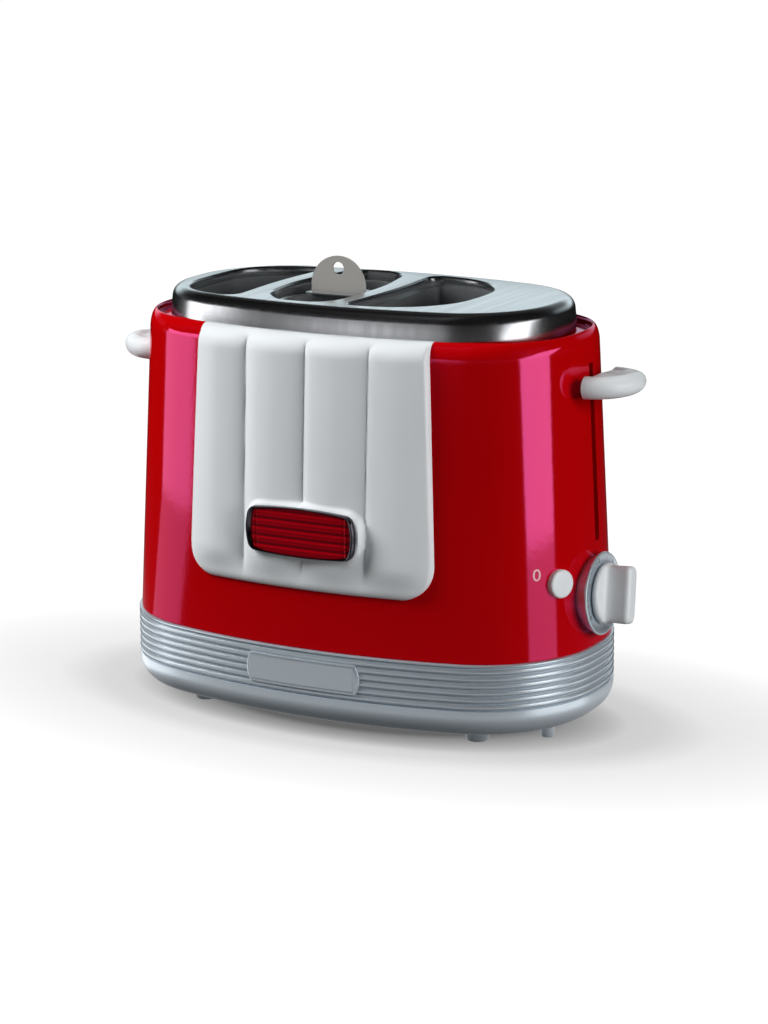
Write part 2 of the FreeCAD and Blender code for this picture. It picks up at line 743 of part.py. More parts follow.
def flute_section(height):
    """Section of the panel at a height: one arc per flute, closed behind."""
    plan = body_plan(height)
    share = float((size(height) - S.panel_bottom) / (body_top - S.panel_bottom))
    edge = float(S.panel_half_low) + share * float(S.panel_half_high - S.panel_half_low)
    pitch, level = float(S.flute_pitch), float(height)
    radius = float(plan.side + S.panel_thickness)
    centre = float(plan.side - plan.half_width)
    spots = []
    for x in (-edge, -pitch, 0, pitch, edge):
        spots.append(Vector(x, centre - math.sqrt(radius ** 2 - x ** 2), level))
    edges = []
    for a, b in zip(spots, spots[1:]):
        crest = (a + b) * 0.5 - Vector(0, float(S.flute_bulge), 0)
        edges.append(Part.Arc(a, crest, b).toShape())
    inner = float(plan.half_width) * -0.6
    right, left = Vector(edge, inner, level), Vector(-edge, inner, level)
    edges.append(Part.LineSegment(spots[-1], right).toShape())
    edges.append(Part.LineSegment(right, left).toShape())
    edges.append(Part.LineSegment(left, spots[0]).toShape())
    return Part.Wire(edges)


def fade_block():
    """Envelope that trims the flutes: thin at the bottom edge, full, and bevelled at the top."""
    full = S.panel_thickness + S.flute_bulge + 1
    levels = ((S.panel_bottom, S.panel_thickness * 0.7), (S.panel_bottom + 3, S.panel_thickness),
              (S.panel_bottom + S.flute_fade, full), (body_top - 9, full),
              (body_top, -S.shoulder_radius + 0.4))
    wires = []
    for height, out in levels:
        wire = plan_wire(body_plan(height).grown(out))
        wire.translate(Vector(0, 0, float(height)))
        wires.append(wire)
    return Part.makeLoft(wires, True, True)


def badge_wire(grow=0.0):
    """Outline of the badge in X and Z, grown by a step."""
    return barrel_wire(S.badge_length / 2 + grow, S.badge_width / 2 + grow,
                       float(S.badge_bulge), 1.6, 5.0 + grow * 0.8, S.badge_height)


def make_panel(outer_shape):
    """White fluted panel, the pad for the badge, and the badge."""
    flutes = Part.makeLoft([flute_section(S.panel_bottom), flute_section(body_top)], True, True)
    low, half, corner = S.panel_bottom, S.panel_half_low + 1, S.panel_corner
    outline = rounded_wire([(-half, low, corner), (half, low, corner), (half, body_top, 0.5),
                            (-half, body_top, 0.5)])
    prism = standing(outline, -float(S.base_width), 0)
    crest = body_plan(S.badge_height).half_width + S.panel_thickness + S.flute_bulge
    front = float(crest) + 0.8
    badge_pad = standing(badge_wire(float(S.badge_border)), -front, -float(crest) * 0.6)
    panel = flutes.common(fade_block()).common(prism).fuse(badge_pad).cut(outer_shape)
    panel = max(panel.removeSplitter().Solids, key=lambda solid: solid.Volume)
    keep("front_panel", shaped("front_panel", panel))
    thick, recess = 3.2, 1.4
    rim = standing(badge_wire(), -front - thick, -front)
    bevel = [e for e in rim.Edges if abs(e.CenterOfMass.y + front + thick) < 0.01 and e.BoundBox.YLength < 1e-6]
    rim = rim.makeChamfer(1.3, bevel)
    window = standing(badge_wire(-float(S.badge_rim)), -front - thick - 1, -front - thick + recess)
    keep("badge_bezel", shaped("badge_bezel", rim.cut(window)))
    insert = standing(badge_wire(-float(S.badge_rim)), -front - thick + 0.2, -front - thick + recess)
    pitch, groove = 2.2, 0.7
    count = int(float(S.badge_width) / pitch)
    for line in range(-(count // 2), count // 2 + 1):
        level = float(S.badge_height) + line * pitch
        slot = Part.makeBox(200, 0.6, groove, Vector(-100, -front - thick + 0.2, level - groove / 2))
        insert = insert.cut(slot)
    keep("badge_insert", shaped("badge_insert", insert))


# ---------------------------------------------------------------- steel cover, wells and heaters


def bun_wire(side, width, corner, grow=0.0):
    """D-shaped opening on one side of the middle opening: bowed inside, rounded outside."""
    inner = float(S.sausage_width / 2 + S.strip_width)
    outer = inner + float(width)
    half, bow = float(S.opening_length / 2), float(S.bow)
    corner, tip, far = float(corner), float(S.tip_corner), half - float(S.bun_taper)
    x0, y0 = float(S.group_shift), float(S.group_back)
    corners = [(inner - bow, -half, tip), (outer - 1.5, -far, corner), (outer, 0, 60),
               (outer - 1.5, far, corner), (inner - bow, half, tip), (inner, 0, 330)]
    if side < 0:
        corners = [(-x, y, r) for x, y, r in reversed(corners)]
    wire = rounded_wire([(x0 + x, y0 + y, r) for x, y, r in corners])
    return offset_wire(wire, grow)


def sausage_wire(grow=0.0):
    """Barrel-shaped opening for the sausage basket."""
    waist, bow = float(S.sausage_width / 2), float(S.bow)
    half, tip = float(S.opening_length / 2), float(S.sausage_corner)
    x0, y0 = float(S.group_shift), float(S.group_back)
    corners = [(waist - bow, -half, tip), (waist, 0, 330), (waist - bow, half, tip),
               (-waist + bow, half, tip), (-waist, 0, 330), (-waist + bow, -half, tip)]
    wire = rounded_wire([(x0 + x, y0 + y, r) for x, y, r in corners])
    return offset_wire(wire, grow)


def opening_wires(grow=0.0):
    return {"left_bun": bun_wire(-1, S.left_bun_width, S.left_bun_corner, grow),
            "sausage": sausage_wire(grow),
            "right_bun": bun_wire(1, S.right_bun_width, S.right_bun_corner, grow)}


def cover_plan():
    return Plan(S.cover_length / 2, S.cover_width / 2, S.side_radius, S.end_radius, S.cover_corner)


def cover_block(name, inset, high):
    """Cover as a solid block with a leaning skirt and a rounded top edge."""
    body = new_body(name)
    sketch = cover_plan().grown(-size(inset)).sketch(body, f"{name}_plan", body_top)
    block = pad(body, sketch, high - body_top, S.cover_lean)
    round_edges(body, block, top_edges(block.Shape), S.cover_edge - inset)
    return body


def make_cover():
    outside = cover_block("cover_outside", size(0), cover_top)
    inside = cover_block("cover_inside", S.steel, cover_top - S.steel)
    holes = [shaped(f"{name}_hole", slab(wire, body_top - 1, cover_top + 1))
             for name, wire in opening_wires().items()]
    keep("top_cover", cut("top_cover", outside, inside, *holes))


def lift_places():
    """Middle of each opening along X, where the cross bars run."""
    inner = S.sausage_width / 2 + S.strip_width
    return {"left_bun": S.group_shift - inner - S.left_bun_width / 2, "sausage": S.group_shift,
            "right_bun": S.group_shift + inner + S.right_bun_width / 2}


def well_inside(name):
    """How far the inside of a well stands outside its opening; the bun wells narrow below a ledge."""
    return S.well_margin if name == "sausage" else S.well_step * -1


def make_wells():
    """Steel sleeves below the openings, with windows for the heat and slits for the cross bars."""
    top = cover_top - S.steel
    ledge = cover_top - S.ledge_drop
    slit_half = 4.5
    bar_low = lift_height + 12
    window_low, window_high = floor_top + 14, top - 28
    window, window_pitch = 12.0, 22.0
    for name in opening_wires():
        wires = {grow: opening_wires(grow)[name] for grow in
                 (float(well_inside(name)), float(well_inside(name) + S.steel),
                  float(S.well_margin), float(S.well_margin + S.steel))}
        inner, outer = wires[float(well_inside(name))], wires[float(well_inside(name) + S.steel)]
        sleeve = slab(outer, floor_top, top).cut(slab(inner, floor_top, top))
        if name != "sausage":
            collar, mouth = wires[float(S.well_margin + S.steel)], wires[float(S.well_margin)]
            sleeve = slab(outer, floor_top, ledge).cut(slab(inner, floor_top, ledge))
            sleeve = sleeve.fuse([slab(collar, ledge, ledge + S.steel).cut(slab(inner, ledge, ledge + S.steel)),
                                  slab(collar, ledge, top).cut(slab(mouth, ledge, top))]).removeSplitter()
        middle = float(lift_places()[name])
        slit = Part.makeBox(2 * slit_half, 200, float(bar_low - floor_top),
                            Vector(middle - slit_half, -100, float(floor_top)))
        sleeve = sleeve.cut(slit)
        for step in (-1, 0, 1):
            y = float(S.group_back) + step * window_pitch
            opening = Part.makeBox(90, window, float(window_high - window_low),
                                   Vector(middle - 45, y - window / 2, float(window_low)))
            sleeve = sleeve.cut(opening)
        keep(f"{name}_well", shaped(f"{name}_well", sleeve.cut(nodes["top_cover"].Shape)))


def make_heaters():
    """Mica boards beside the wells."""
    inner = S.sausage_width / 2 + S.strip_width
    board = 1.0
    bridge = S.sausage_width / 2 + S.strip_width / 2 - S.bow / 2
    outer_gap = S.well_margin + S.steel + 1.5
    low, high = floor_top, rod_top
    short, long = S.opening_length / 2 - 22, S.opening_length / 2 - 8
    boards = (("heater_left_outer", S.group_shift - inner - S.left_bun_width - outer_gap - board, short),
              ("heater_left_inner", S.group_shift - bridge - board / 2, long),
              ("heater_right_inner", S.group_shift + bridge - board / 2, long),
              ("heater_right_outer", S.group_shift + inner + S.right_bun_width + outer_gap, short))
    for name, x, half in boards:
        front, back = S.group_back - half, S.group_back + half
        keep(name, box(name, (x, front, low), (x + board, back, high)))


# ---------------------------------------------------------------- chassis and mechanism


def rod_places():
    half = S.rod_spacing / 2
    return [(S.rod_distance, S.lever_side - half), (S.rod_distance, S.lever_side + half)]


def make_chassis():
    """Chassis floor, heat shield with its top flange, and the guide rods."""
    floor_body = new_body("floor_body")
    plan = body_plan(S.floor_height).grown(-S.body_wall - 1)
    pad(floor_body, plan.sketch(floor_body, "floor_plan", S.floor_height), S.floor_steel)
    crumbs = [shaped(f"{name}_drop", slab(wire, S.floor_height - 1, floor_top + 1))
              for name, wire in opening_wires(-4.0).items()]
    keep("chassis_floor", cut("chassis_floor", floor_body, *crumbs))
    x, steel, y = S.shield_distance, 1.5, S.lever_side
    half, flange = S.rail_spacing / 2 - 10, S.rod_spacing / 2 + 8
    wall = box("shield_wall", (x, S.group_back - half, floor_top), (x + steel, S.group_back + half, rod_top + steel))
    top = box("shield_flange", (x, y - flange, rod_top), (S.rod_distance + 6, y + flange, rod_top + steel))
    keep("heat_shield", fuse("heat_shield", wall, top))
    rods = [rod(f"guide_{i}", S.rod_radius, floor_top, rod_top, at) for i, at in enumerate(rod_places())]
    keep("guide_rods", fuse("guide_rods", *rods))


def make_carriage():
    """Carriage plate with its two bushings, and the tab that hooks the return spring."""
    low, high = lift_height - 8, lever_height + S.arm_height / 2 + 4
    plate_x, plate_steel = carriage_plate, 2.0
    bush_low, bush_high = lever_height - 12, lever_height + S.arm_height / 2 + 4
    y = S.lever_side
    half = S.rod_spacing / 2 + 6
    plate = box("carriage_sheet", (plate_x, y - half, low), (plate_x + plate_steel, y + half, high))
    parts = [plate]
    for i, (x, side) in enumerate(rod_places()):
        parts.append(rod(f"bush_{i}", S.rod_radius + 2.5, bush_low, bush_high, (x, side)))
        parts.append(box(f"bush_web_{i}", (plate_x + plate_steel, side - 3, bush_low), (x, side + 3, bush_high)))
    spring_x, spring_y = spring_place()
    parts.append(box("spring_tab", (plate_x + plate_steel, spring_y - 2.5, lift_height + 10),
                     (spring_x + 3.2, spring_y + 2.5, lift_height + 11.5)))
    parts.append(box("armature_tab", (plate_x + plate_steel, magnet_place()[1] - 6, armature_low() + 2),
                     (magnet_place()[0] + 6, magnet_place()[1] + 6, armature_low() + 3.2)))
    bores = [rod(f"bush_bore_{i}", S.rod_radius + S.rod_clearance, bush_low - 1, bush_high + 1, at)
             for i, at in enumerate(rod_places())]
    keep("carriage", cut("carriage", fuse("carriage_whole", *parts), *bores))
    x, y = magnet_place()
    keep("armature", box("armature", (x - 6, y - 6, armature_low()), (x + 6, y + 6, armature_low() + 2)))


def spring_place():
    return S.rod_distance - 2, S.lever_side - S.rod_spacing / 2 + 8.5


def magnet_place():
    return S.rod_distance + 1, S.lever_side


def armature_low():
    return lift_height + 12


def make_magnet():
    """Electromagnet that holds the carriage down until the timer lets go."""
    x, y = magnet_place()
    top = armature_low() - travel - 0.3
    coil_top = top - 2
    core = rod("magnet_core", 3, floor_top, top, (x, y))
    coil = rod("magnet_coil", 6, floor_top + 1.5, coil_top, (x, y))
    yoke = box("magnet_yoke", (x - 6, y - 6, floor_top), (x + 6, y + 6, floor_top + 1.5))
    keep("latch_magnet", fuse("latch_magnet", core, coil, yoke))


def make_spring():
    """Return spring between the carriage and the shield's flange."""
    x, y = (float(v) for v in spring_place())
    low, high = float(lift_height + 11.5), float(rod_top)
    wire, radius, turns = 0.9, 2.6, 8
    pitch = (high - low - wire) / turns
    helix = Part.makeHelix(pitch, turns * pitch, radius)
    helix.translate(Vector(x, y, low + wire / 2))
    start = Vector(x + radius, y, low + wire / 2)
    corners = [start + Vector(r, 0, z) for r, z in corner_arc(0, 0, wire / 2, 0, 360, 6)]
    coil = Part.Wire(helix).makePipeShell([Part.makePolygon(corners)], True, True)
    keep("return_spring", shaped("return_spring", coil))


def make_lifts():
    """Lift frame of spot-welded bars round the wells, and the three lifts it carries."""
    top, y0 = lift_height, S.group_back
    left, right = lift_places()["left_bun"] - 3, S.shield_distance + S.frame_overhang
    rail_high, half_bar = 8.0, 3.0
    near, far = rail_half - S.rail_width / 2, rail_half + S.rail_width / 2
    keep("front_rail", box("front_rail", (left, y0 - far, top - rail_high), (right, y0 - near, top)))
    keep("rear_rail", box("rear_rail", (left, y0 + near, top - rail_high), (right, y0 + far, top)))
    for name, middle in lift_places().items():
        low, high = (middle - half_bar, y0 - near, top - 2), (middle + half_bar, y0 + near, top)
        keep(f"{name}_bar", box(f"{name}_bar", low, high))
    parts = [box("end_strip", (right - 2, y0 - near, top - rail_high), (right, y0 + near, top))]
    for i, (x, y) in enumerate(rod_places()):
        parts.append(box(f"link_{i}", (right, y - 2, top - rail_high), (carriage_plate, y + 2, top)))
    keep("end_bar", fuse("end_bar", *parts))
    for name in opening_wires():
        wire = opening_wires(float(well_inside(name) - S.plate_gap))[name]
        keep(f"{name}_lift", shaped(f"{name}_lift", slab(wire, top, top + 1.2)))


def make_lever():
    """Steel arm through the slot, and the half round knob on its end."""
    y, z = S.lever_side, lever_height
    half = S.arm_thickness / 2
    arm_low = z - S.arm_drop - S.arm_height / 2
    start = body_plan(z - travel - S.paddle_thickness / 2).half_length + S.knob_gap
    arm = box("lever_arm", (S.rod_distance - 7, y - half, arm_low), (start + 12, y + half, arm_low + S.arm_height))
    keep("lever_arm", arm)
    block = paddle("knob_block", start - 2, y, z)
    outside = box("knob_room", (start, y - 40, z - 20), (start + 40, y + 40, z + 20))
    keep("lever_knob", cut("lever_knob", common("knob_half", block, outside), arm))


# ---------------------------------------------------------------- sausage basket


def tube_places():
    x, half = S.group_shift + S.basket_shift, S.tube_spacing / 2
    return {"front": (x, S.group_back - half), "rear": (x, S.group_back + half)}


def make_tube(at, low, ring):
    """Sausage tube: rolled rim, and four windows for the heat."""
    x, y = (float(v) for v in at)
    radius, bead = float(S.tube_radius), float(S.ring_bead)
    bore = radius - float(S.tube_wall)
    rim = [(radius + 0.9 * bead * r, ring - bead + bead * z) for r, z in
           ((0, -0.9), (0.7, -0.6), (0.9, 0), (0.65, 0.6), (0.1, 1), (-0.45, 0.85))]
    tube = turned([(bore, low), (radius, low), *rim, (bore, ring - bead * 0.6)], Vector(x, y, 0))
    for turn in range(4):
        window = Part.makeBox(60, 9, ring - low - 30, Vector(0, -4.5, low + 10))
        window.rotate(Vector(), Z_AXIS, 45 + 90 * turn)
        window.translate(Vector(x, y, 0))
        tube = tube.cut(window)
    return tube


def make_basket():
    """Two sausage tubes on a floor, tied to a plate that ends in the lifting tab."""
    floor_low = lift_height + 1.2
    low, ring = floor_low + S.tube_wall, cover_top - S.ring_drop
    bottom, top = float(low), float(ring)
    for name, at in tube_places().items():
        keep(f"{name}_tube", shaped(f"{name}_tube", make_tube(at, bottom, top)))
    x, y = S.group_shift + S.basket_shift, S.group_back
    pads = [rod(f"{name}_pad", S.tube_radius, floor_low, low, at) for name, at in tube_places().items()]
    bridge = box("pad_bridge", (x - 10, y - S.tube_spacing / 2, floor_low), (x + 10, y + S.tube_spacing / 2, low))
    keep("basket_floor", fuse("basket_floor", *pads, bridge))
    px, py = float(x), float(y)
    half, radius, peak = float(S.tab_thickness / 2), float(S.tab_radius), float(tab_height)
    middle = peak - radius
    tab = Part.makeCylinder(radius, 2 * half, Vector(px, py - half, middle), Y_AXIS)
    tab = tab.cut(Part.makeBox(4 * radius, 10, 2 * radius, Vector(px - 2 * radius, py - 5, middle - 2 * radius)))
    stem = Part.makeBox(2 * radius, 2 * half, middle - top + 3, Vector(px - radius, py - half, top - 3))
    leg = Part.makeBox(20, 2 * half, top - bottom, Vector(px - 10, py - half, bottom))
    hole = Part.makeCylinder(float(S.tab_hole), 10, Vector(px, py - 5, peak - 6.5), Y_AXIS)
    keep("basket_handle", shaped("basket_handle", tab.fuse([stem, leg]).removeSplitter().cut(hole)))
    gap = float(S.tube_spacing / 2) - float(S.tube_radius) - half
    straps = []
    for level in (bottom + 3, top - 9):
        for end in (-1, 1):
            near = py + half if end > 0 else py - half - gap - 6
            strap = Part.makeBox(12, gap + 6, 1.2, Vector(px - 6, near, level))
            for a, b in tube_places().values():
                strap = strap.cut(Part.makeCylinder(float(S.tube_radius), 200, Vector(float(a), float(b), 60)))
            straps.append(strap)
    keep("basket_straps", shaped("basket_straps", Part.makeCompound(straps)))


# ---------------------------------------------------------------- controls


def make_dial(outer):
    """Dial ring seated on the wall, knob with its bar grip, shaft, timer and bracket."""
    place = dial_place()
    depth, radius = float(S.dial_depth), float(S.dial_radius)
    shaft_radius, knob_radius, bar = float(S.shaft_radius), float(S.knob_radius), float(S.knob_bar)
    ring = disc(radius + float(S.dial_flare), -6, depth - 0.8, radius)
    ring = ring.fuse(disc(radius, depth - 0.8, depth, radius - 0.8)).removeSplitter()
    block = on_wall("dial_block", ring.cut(disc(shaft_radius + 1.5, -8, 20)), place)
    keep("dial_ring", cut("dial_ring", block, outer))
    face = depth + float(S.running_gap)
    disc_top = face + float(S.knob_disc)
    grip_top = disc_top + float(S.knob_grip)
    grip = Part.makeBox(bar, 2 * knob_radius, grip_top - face, Vector(-bar / 2, -knob_radius, face))
    grip = grip.common(disc(knob_radius, face, grip_top, knob_radius - 1.0))
    crest = [edge for edge in grip.Edges if edge.BoundBox.ZMin > grip_top - 0.01]
    grip = grip.makeFillet(2.6, crest)
    knob = disc(knob_radius, face, disc_top, knob_radius - 1.2).fuse(grip).removeSplitter()
    socket = 8.0
    keep("dial_knob", on_wall("dial_knob", knob.cut(disc(shaft_radius, face - 1, face + socket)), place))
    case_high = -float(S.body_wall) - 2.0
    case_low = case_high - 9.0
    shaft_low = case_low + 3.0
    keep("timer_shaft", on_wall("timer_shaft", disc(shaft_radius, shaft_low, face + socket), place))
    case = disc(9.5, case_low, case_high).cut(disc(shaft_radius + 0.06, shaft_low - 0.2, case_high + 1))
    keep("timer_case", on_wall("timer_case", case, place))
    steel, reach, low = 1.5, 12.0, float(floor_top)
    plate = Part.makeBox(2 * reach, 60 + reach, steel, Vector(-reach, -60, case_low - steel))
    plate.Placement = place.multiply(plate.Placement)
    far, depth = float(S.base_length), float(S.body_height)
    below = Part.makeBox(2 * far, 2 * far, depth, Vector(-far, -far, low - depth))
    keep("timer_bracket", shaped("timer_bracket", plate.cut(below)))


def make_button():
    """Stop button in the corner wall, its switch and the control board."""
    place = button_place()
    radius, out = float(S.button_radius), float(S.button_out)
    wall = float(S.body_wall)
    flange_high = -wall - 0.9
    cap = turned([(0, flange_high - 8), (2.0, flange_high - 8), (2.0, flange_high - 1.2),
                  (radius + 1.6, flange_high - 1.2), (radius + 1.6, flange_high), (radius, flange_high),
                  *corner_arc(radius - 1.0, out - 1.0, 1.0, 0, 90, 3), (0, out)])
    keep("stop_button", on_wall("stop_button", cap, place))
    switch_high = flange_high - 8 - float(S.button_travel) - 0.15
    switch = Part.makeBox(12, 12, 6, Vector(-6, -6, switch_high - 6))
    keep("stop_switch", on_wall("stop_switch", switch, place))
    board_high = switch_high - 6
    low = float(floor_top)
    board = Part.makeBox(36, 90, 1.6, Vector(-25, -60, board_high - 1.6))
    board.Placement = place.multiply(board.Placement)
    far, depth, top = float(S.base_length), float(S.body_height), float(S.button_height) + 14
    below = Part.makeBox(2 * far, 2 * far, depth, Vector(-far, -far, low - depth))
    above = Part.makeBox(2 * far, 2 * far, depth, Vector(-far, -far, top))
    keep("control_board", shaped("control_board", board.cut(below).cut(above)))


# ---------------------------------------------------------------- assembly

make_base()
outer = body_block("body_outside")
make_body(outer)
make_panel(outer.Shape)
make_grip(outer)
make_cover()
make_wells()
make_heaters()
make_chassis()
make_carriage()
make_magnet()
make_spring()
make_lifts()
make_lever()
make_basket()
make_dial(outer)
make_button()
doc.recompute()

for thing in doc.Objects:
    if "Invalid" in thing.State or "Error" in thing.State:
        raise RuntimeError(f"{thing.Label} failed: {thing.State}")
for name, thing in nodes.items():
    if thing.Shape.isNull() or not thing.Shape.isValid():
        raise RuntimeError(f"{name} has no valid shape")

os.makedirs("parts", exist_ok=True)
for name, thing in nodes.items():
    thing.Shape.exportStep(f"parts/{name}.step")
print(len(nodes), "nodes written")
for name, place in (("dial", dial_place()), ("button", button_place())):
    axis = place.Rotation.multVec(Z_AXIS)
    print(name, "at", [round(v, 3) for v in place.Base], "axis", [round(v, 5) for v in axis])
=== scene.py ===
"""Hot dog toaster: the finish of every piece. +Z is up, +X towards the lever and -Y towards the flutes.
Shapes are worked out in millimetres and placed in metres."""

import json
import math

import bmesh
import bpy
import numpy as np
from mathutils import Matrix, Vector
from mathutils.geometry import tessellate_polygon


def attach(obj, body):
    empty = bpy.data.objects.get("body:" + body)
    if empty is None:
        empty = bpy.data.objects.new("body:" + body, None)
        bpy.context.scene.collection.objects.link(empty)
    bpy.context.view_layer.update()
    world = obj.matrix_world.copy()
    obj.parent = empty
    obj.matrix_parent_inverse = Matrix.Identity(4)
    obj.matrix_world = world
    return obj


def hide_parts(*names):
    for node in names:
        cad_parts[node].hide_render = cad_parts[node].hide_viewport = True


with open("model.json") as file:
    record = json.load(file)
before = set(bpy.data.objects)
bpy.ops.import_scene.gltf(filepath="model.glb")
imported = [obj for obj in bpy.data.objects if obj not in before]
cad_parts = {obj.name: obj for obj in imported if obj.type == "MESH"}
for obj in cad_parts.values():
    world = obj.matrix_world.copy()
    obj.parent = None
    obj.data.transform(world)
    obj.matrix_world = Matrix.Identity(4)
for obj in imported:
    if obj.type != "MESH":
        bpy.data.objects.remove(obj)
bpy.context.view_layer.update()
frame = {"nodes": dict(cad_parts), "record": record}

scene = bpy.context.scene
scene.view_settings.view_transform = "Standard"
nodes = frame["nodes"]
MM = 0.001

# ---------------------------------------------------------------- paint


class Value:
    """A number or colour that varies over a surface; arithmetic on it adds Math nodes."""

    def __init__(self, paint, socket):
        self.paint, self.socket = paint, socket

    def _math(self, operation, first, second):
        return self.paint.node("Math", {"operation": operation}, {0: first, 1: second})

    def __add__(self, other):
        return self._math("ADD", self, other)

    __radd__ = __add__

    def __mul__(self, other):
        return self._math("MULTIPLY", self, other)

    __rmul__ = __mul__


class Paint:
    """One finish. node() makes any shader node; the rest are a maker's short cuts."""

    def __init__(self, name, **finish):
        self.material = bpy.data.materials.new(name)
        self.material.use_nodes = True
        self.tree = self.material.node_tree
        self.shader = next(n for n in self.tree.nodes if n.type == "BSDF_PRINCIPLED")
        self.where = self.node("TexCoord", output="Object")
        for socket, value in finish.items():
            self.feed(self.shader.inputs[socket.replace("_", " ")], value)

    def feed(self, socket, value):
        if isinstance(value, Value):
            self.tree.links.new(value.socket, socket)
        elif isinstance(value, (tuple, list)) and len(socket.default_value) == len(value) + 1:
            socket.default_value = (*value, 1.0)
        else:
            socket.default_value = value

    def node(self, kind, settings=None, inputs=None, output=0):
        made = self.tree.nodes.new("ShaderNode" + kind)
        for key, value in (settings or {}).items():
            if key == "stops":
                while len(made.color_ramp.elements) < len(value):
                    made.color_ramp.elements.new(0.5)
                for element, (place, colour) in zip(made.color_ramp.elements, value):
                    element.position, element.color = place, (*colour, 1.0)
            else:
                setattr(made, key, value)
        for key, value in (inputs or {}).items():
            self.feed(made.inputs[key], value)
        return Value(self, made.outputs[output])

    def grain(self, scale, stretch=(1, 1, 1), detail=2.0, shift=(0, 0, 0)):
        """Noise in object space: scale is cells per metre, stretch squeezes it along an axis."""
        at = self.node("Mapping", inputs={"Vector": self.where, "Scale": stretch, "Location": shift})
        return self.node("TexNoise", inputs={"Vector": at, "Scale": scale, "Detail": detail})

    def blend(self, share, low, high):
        """Colour between two others."""
        return self.node("Mix", {"data_type": "RGBA"}, {0: share, 6: low, 7: high}, output=2)

    def bump(self, height, strength, distance):
        made = self.node("Bump", inputs={"Height": height, "Strength": strength, "Distance": distance})
        self.feed(self.shader.inputs["Normal"], made)

    def set(self, socket, value):
        self.feed(self.shader.inputs[socket], value)


def linear(red, green, blue):
    """Screen colour 0-255 as scene-linear."""
    share = [v / 255 for v in (red, green, blue)]
    return tuple(v / 12.92 if v <= 0.04045 else ((v + 0.055) / 1.055) ** 2.4 for v in share)


def enamel():
    """Deep red lacquer: a slow drift of the red, a rosy gloss and a trace of orange peel."""
    rosy = (0.9, 0.14, 0.47)
    paint = Paint("red_enamel", Roughness=0.09, IOR=2.1, Specular_IOR_Level=1.0, Specular_Tint=rosy)
    drift = paint.grain(9.0, detail=1.0)
    paint.set("Base Color", paint.blend(drift, (0.52, 0.0003, 0.0008), (0.64, 0.0006, 0.0014)))
    paint.bump(paint.grain(420.0, detail=1.0), 0.04, 0.0004)
    return paint.material


def moulded_white():
    """White moulded plastic: faint cloudiness, a soft gloss and a fine skin."""
    paint = Paint("moulded_white", Specular_IOR_Level=0.45, Coat_Weight=0.25, Coat_Roughness=0.12)
    cloud, tone = paint.grain(35.0, detail=3.0), (0.76, 0.79, 0.81)
    paint.set("Base Color", paint.blend(cloud, tone, tuple(min(1, v * 1.07) for v in tone)))
    paint.set("Roughness", 0.30 + 0.10 * cloud)
    paint.bump(paint.grain(1500.0), 0.05, 0.0002)
    return paint.material


def silver_paint():
    """Satin silver paint: metal flakes of slightly different brightness in a soft lacquer."""
    paint = Paint("silver_paint", Metallic=0.66, Coat_Weight=0.25, Coat_Roughness=0.15)
    flake = paint.grain(2600.0, detail=1.0)
    cloud = paint.grain(20.0)
    low, high = linear(198, 210, 220), linear(228, 238, 246)
    paint.set("Base Color", paint.blend(0.75 * flake + 0.25 * cloud, low, high))
    paint.set("Roughness", 0.285 + 0.05 * cloud)
    return paint.material


def brushed(name, tone, rough, stretch, scale=1100.0, mark=0.05, metallic=1.0):
    """Brushed sheet steel: fine streaks along one direction, a few deeper scratches."""
    paint = Paint(name, Metallic=metallic)
    streak = paint.grain(scale, stretch, detail=3.0)
    scratch = paint.grain(scale * 0.3, stretch, detail=1.0, shift=(0.3, 0.1, 0.2))
    dark = tuple(v * 0.95 for v in tone)
    paint.set("Base Color", paint.blend(streak, dark, tone))
    paint.set("Roughness", rough + 0.10 * scratch)
    paint.bump(streak + scratch, mark, 0.0001)
    return paint.material


def well_steel():
    """Rolled sheet of the wells with painted shade: bright at the mouth, darker further down inside."""
    paint = Paint("bright_wells", Metallic=0.85)
    streak = paint.grain(700.0, (1.0, 1.0, 0.05), detail=3.0)
    level = paint.node("SeparateXYZ", inputs={0: paint.where}, output="Z")
    # painted shade: between these heights in metres the colour goes from a dim grey low in the wells to bright
    # steel at the mouth
    painted_shade_height, bright = 0.186, 0.214
    mouth = paint.node("MapRange", inputs={0: level, 1: painted_shade_height, 2: bright})
    steel = linear(196, 200, 202)
    rolled = paint.blend(streak, tuple(v * 0.9 for v in steel), steel)
    # the dim grey is painted shade inside the wells, not a colour of the steel
    paint.set("Base Color", paint.blend(mouth, linear(96, 92, 96), rolled))
    paint.set("Roughness", 0.16 + 0.10 * streak)
    return paint.material


def dark_chrome():
    """Smoked chrome of the badge's rim."""
    paint = Paint("smoked_chrome", Metallic=1.0)
    haze = paint.grain(300.0, detail=3.0)
    paint.set("Base Color", paint.blend(haze, linear(70, 66, 72), linear(104, 100, 108)))
    paint.set("Roughness", 0.10 + 0.12 * haze)
    return paint.material


def badge_field():
    """Ruby plastic behind the rim: glossy, with painted shade making it a little darker between the ribs."""
    paint = Paint("ruby_field", Specular_IOR_Level=0.35, Specular_Tint=(1.0, 0.1, 0.3))
    bands = 71.4
    band = paint.node("TexWave", {"bands_direction": "Z"}, {"Vector": paint.where, "Scale": bands})
    speck = paint.grain(900.0)
    # painted shade: the wave bands darken the red between the ribs
    paint.set("Base Color", paint.blend(band * 0.8 + speck * 0.2, linear(96, 0, 6), linear(178, 0, 16)))
    paint.set("Roughness", 0.22 + 0.15 * speck)
    return paint.material


def plain(name, tone, rough, metallic=0.0, grain=600.0, spread=0.15):
    """Workaday finish of an inside piece: mottled tone, uneven roughness, a light skin."""
    paint = Paint(name, Metallic=metallic)
    mottle = paint.grain(grain, detail=3.0)
    broad = paint.grain(grain * 0.05)
    paint.set("Base Color", paint.blend(0.5 * mottle + 0.5 * broad, tuple(v * (1 - spread) for v in tone),
                                        tuple(min(1.0, v * (1 + spread)) for v in tone)))
    paint.set("Roughness", rough + 0.12 * broad)
    paint.bump(mottle, 0.1, 0.0002)
    return paint.material


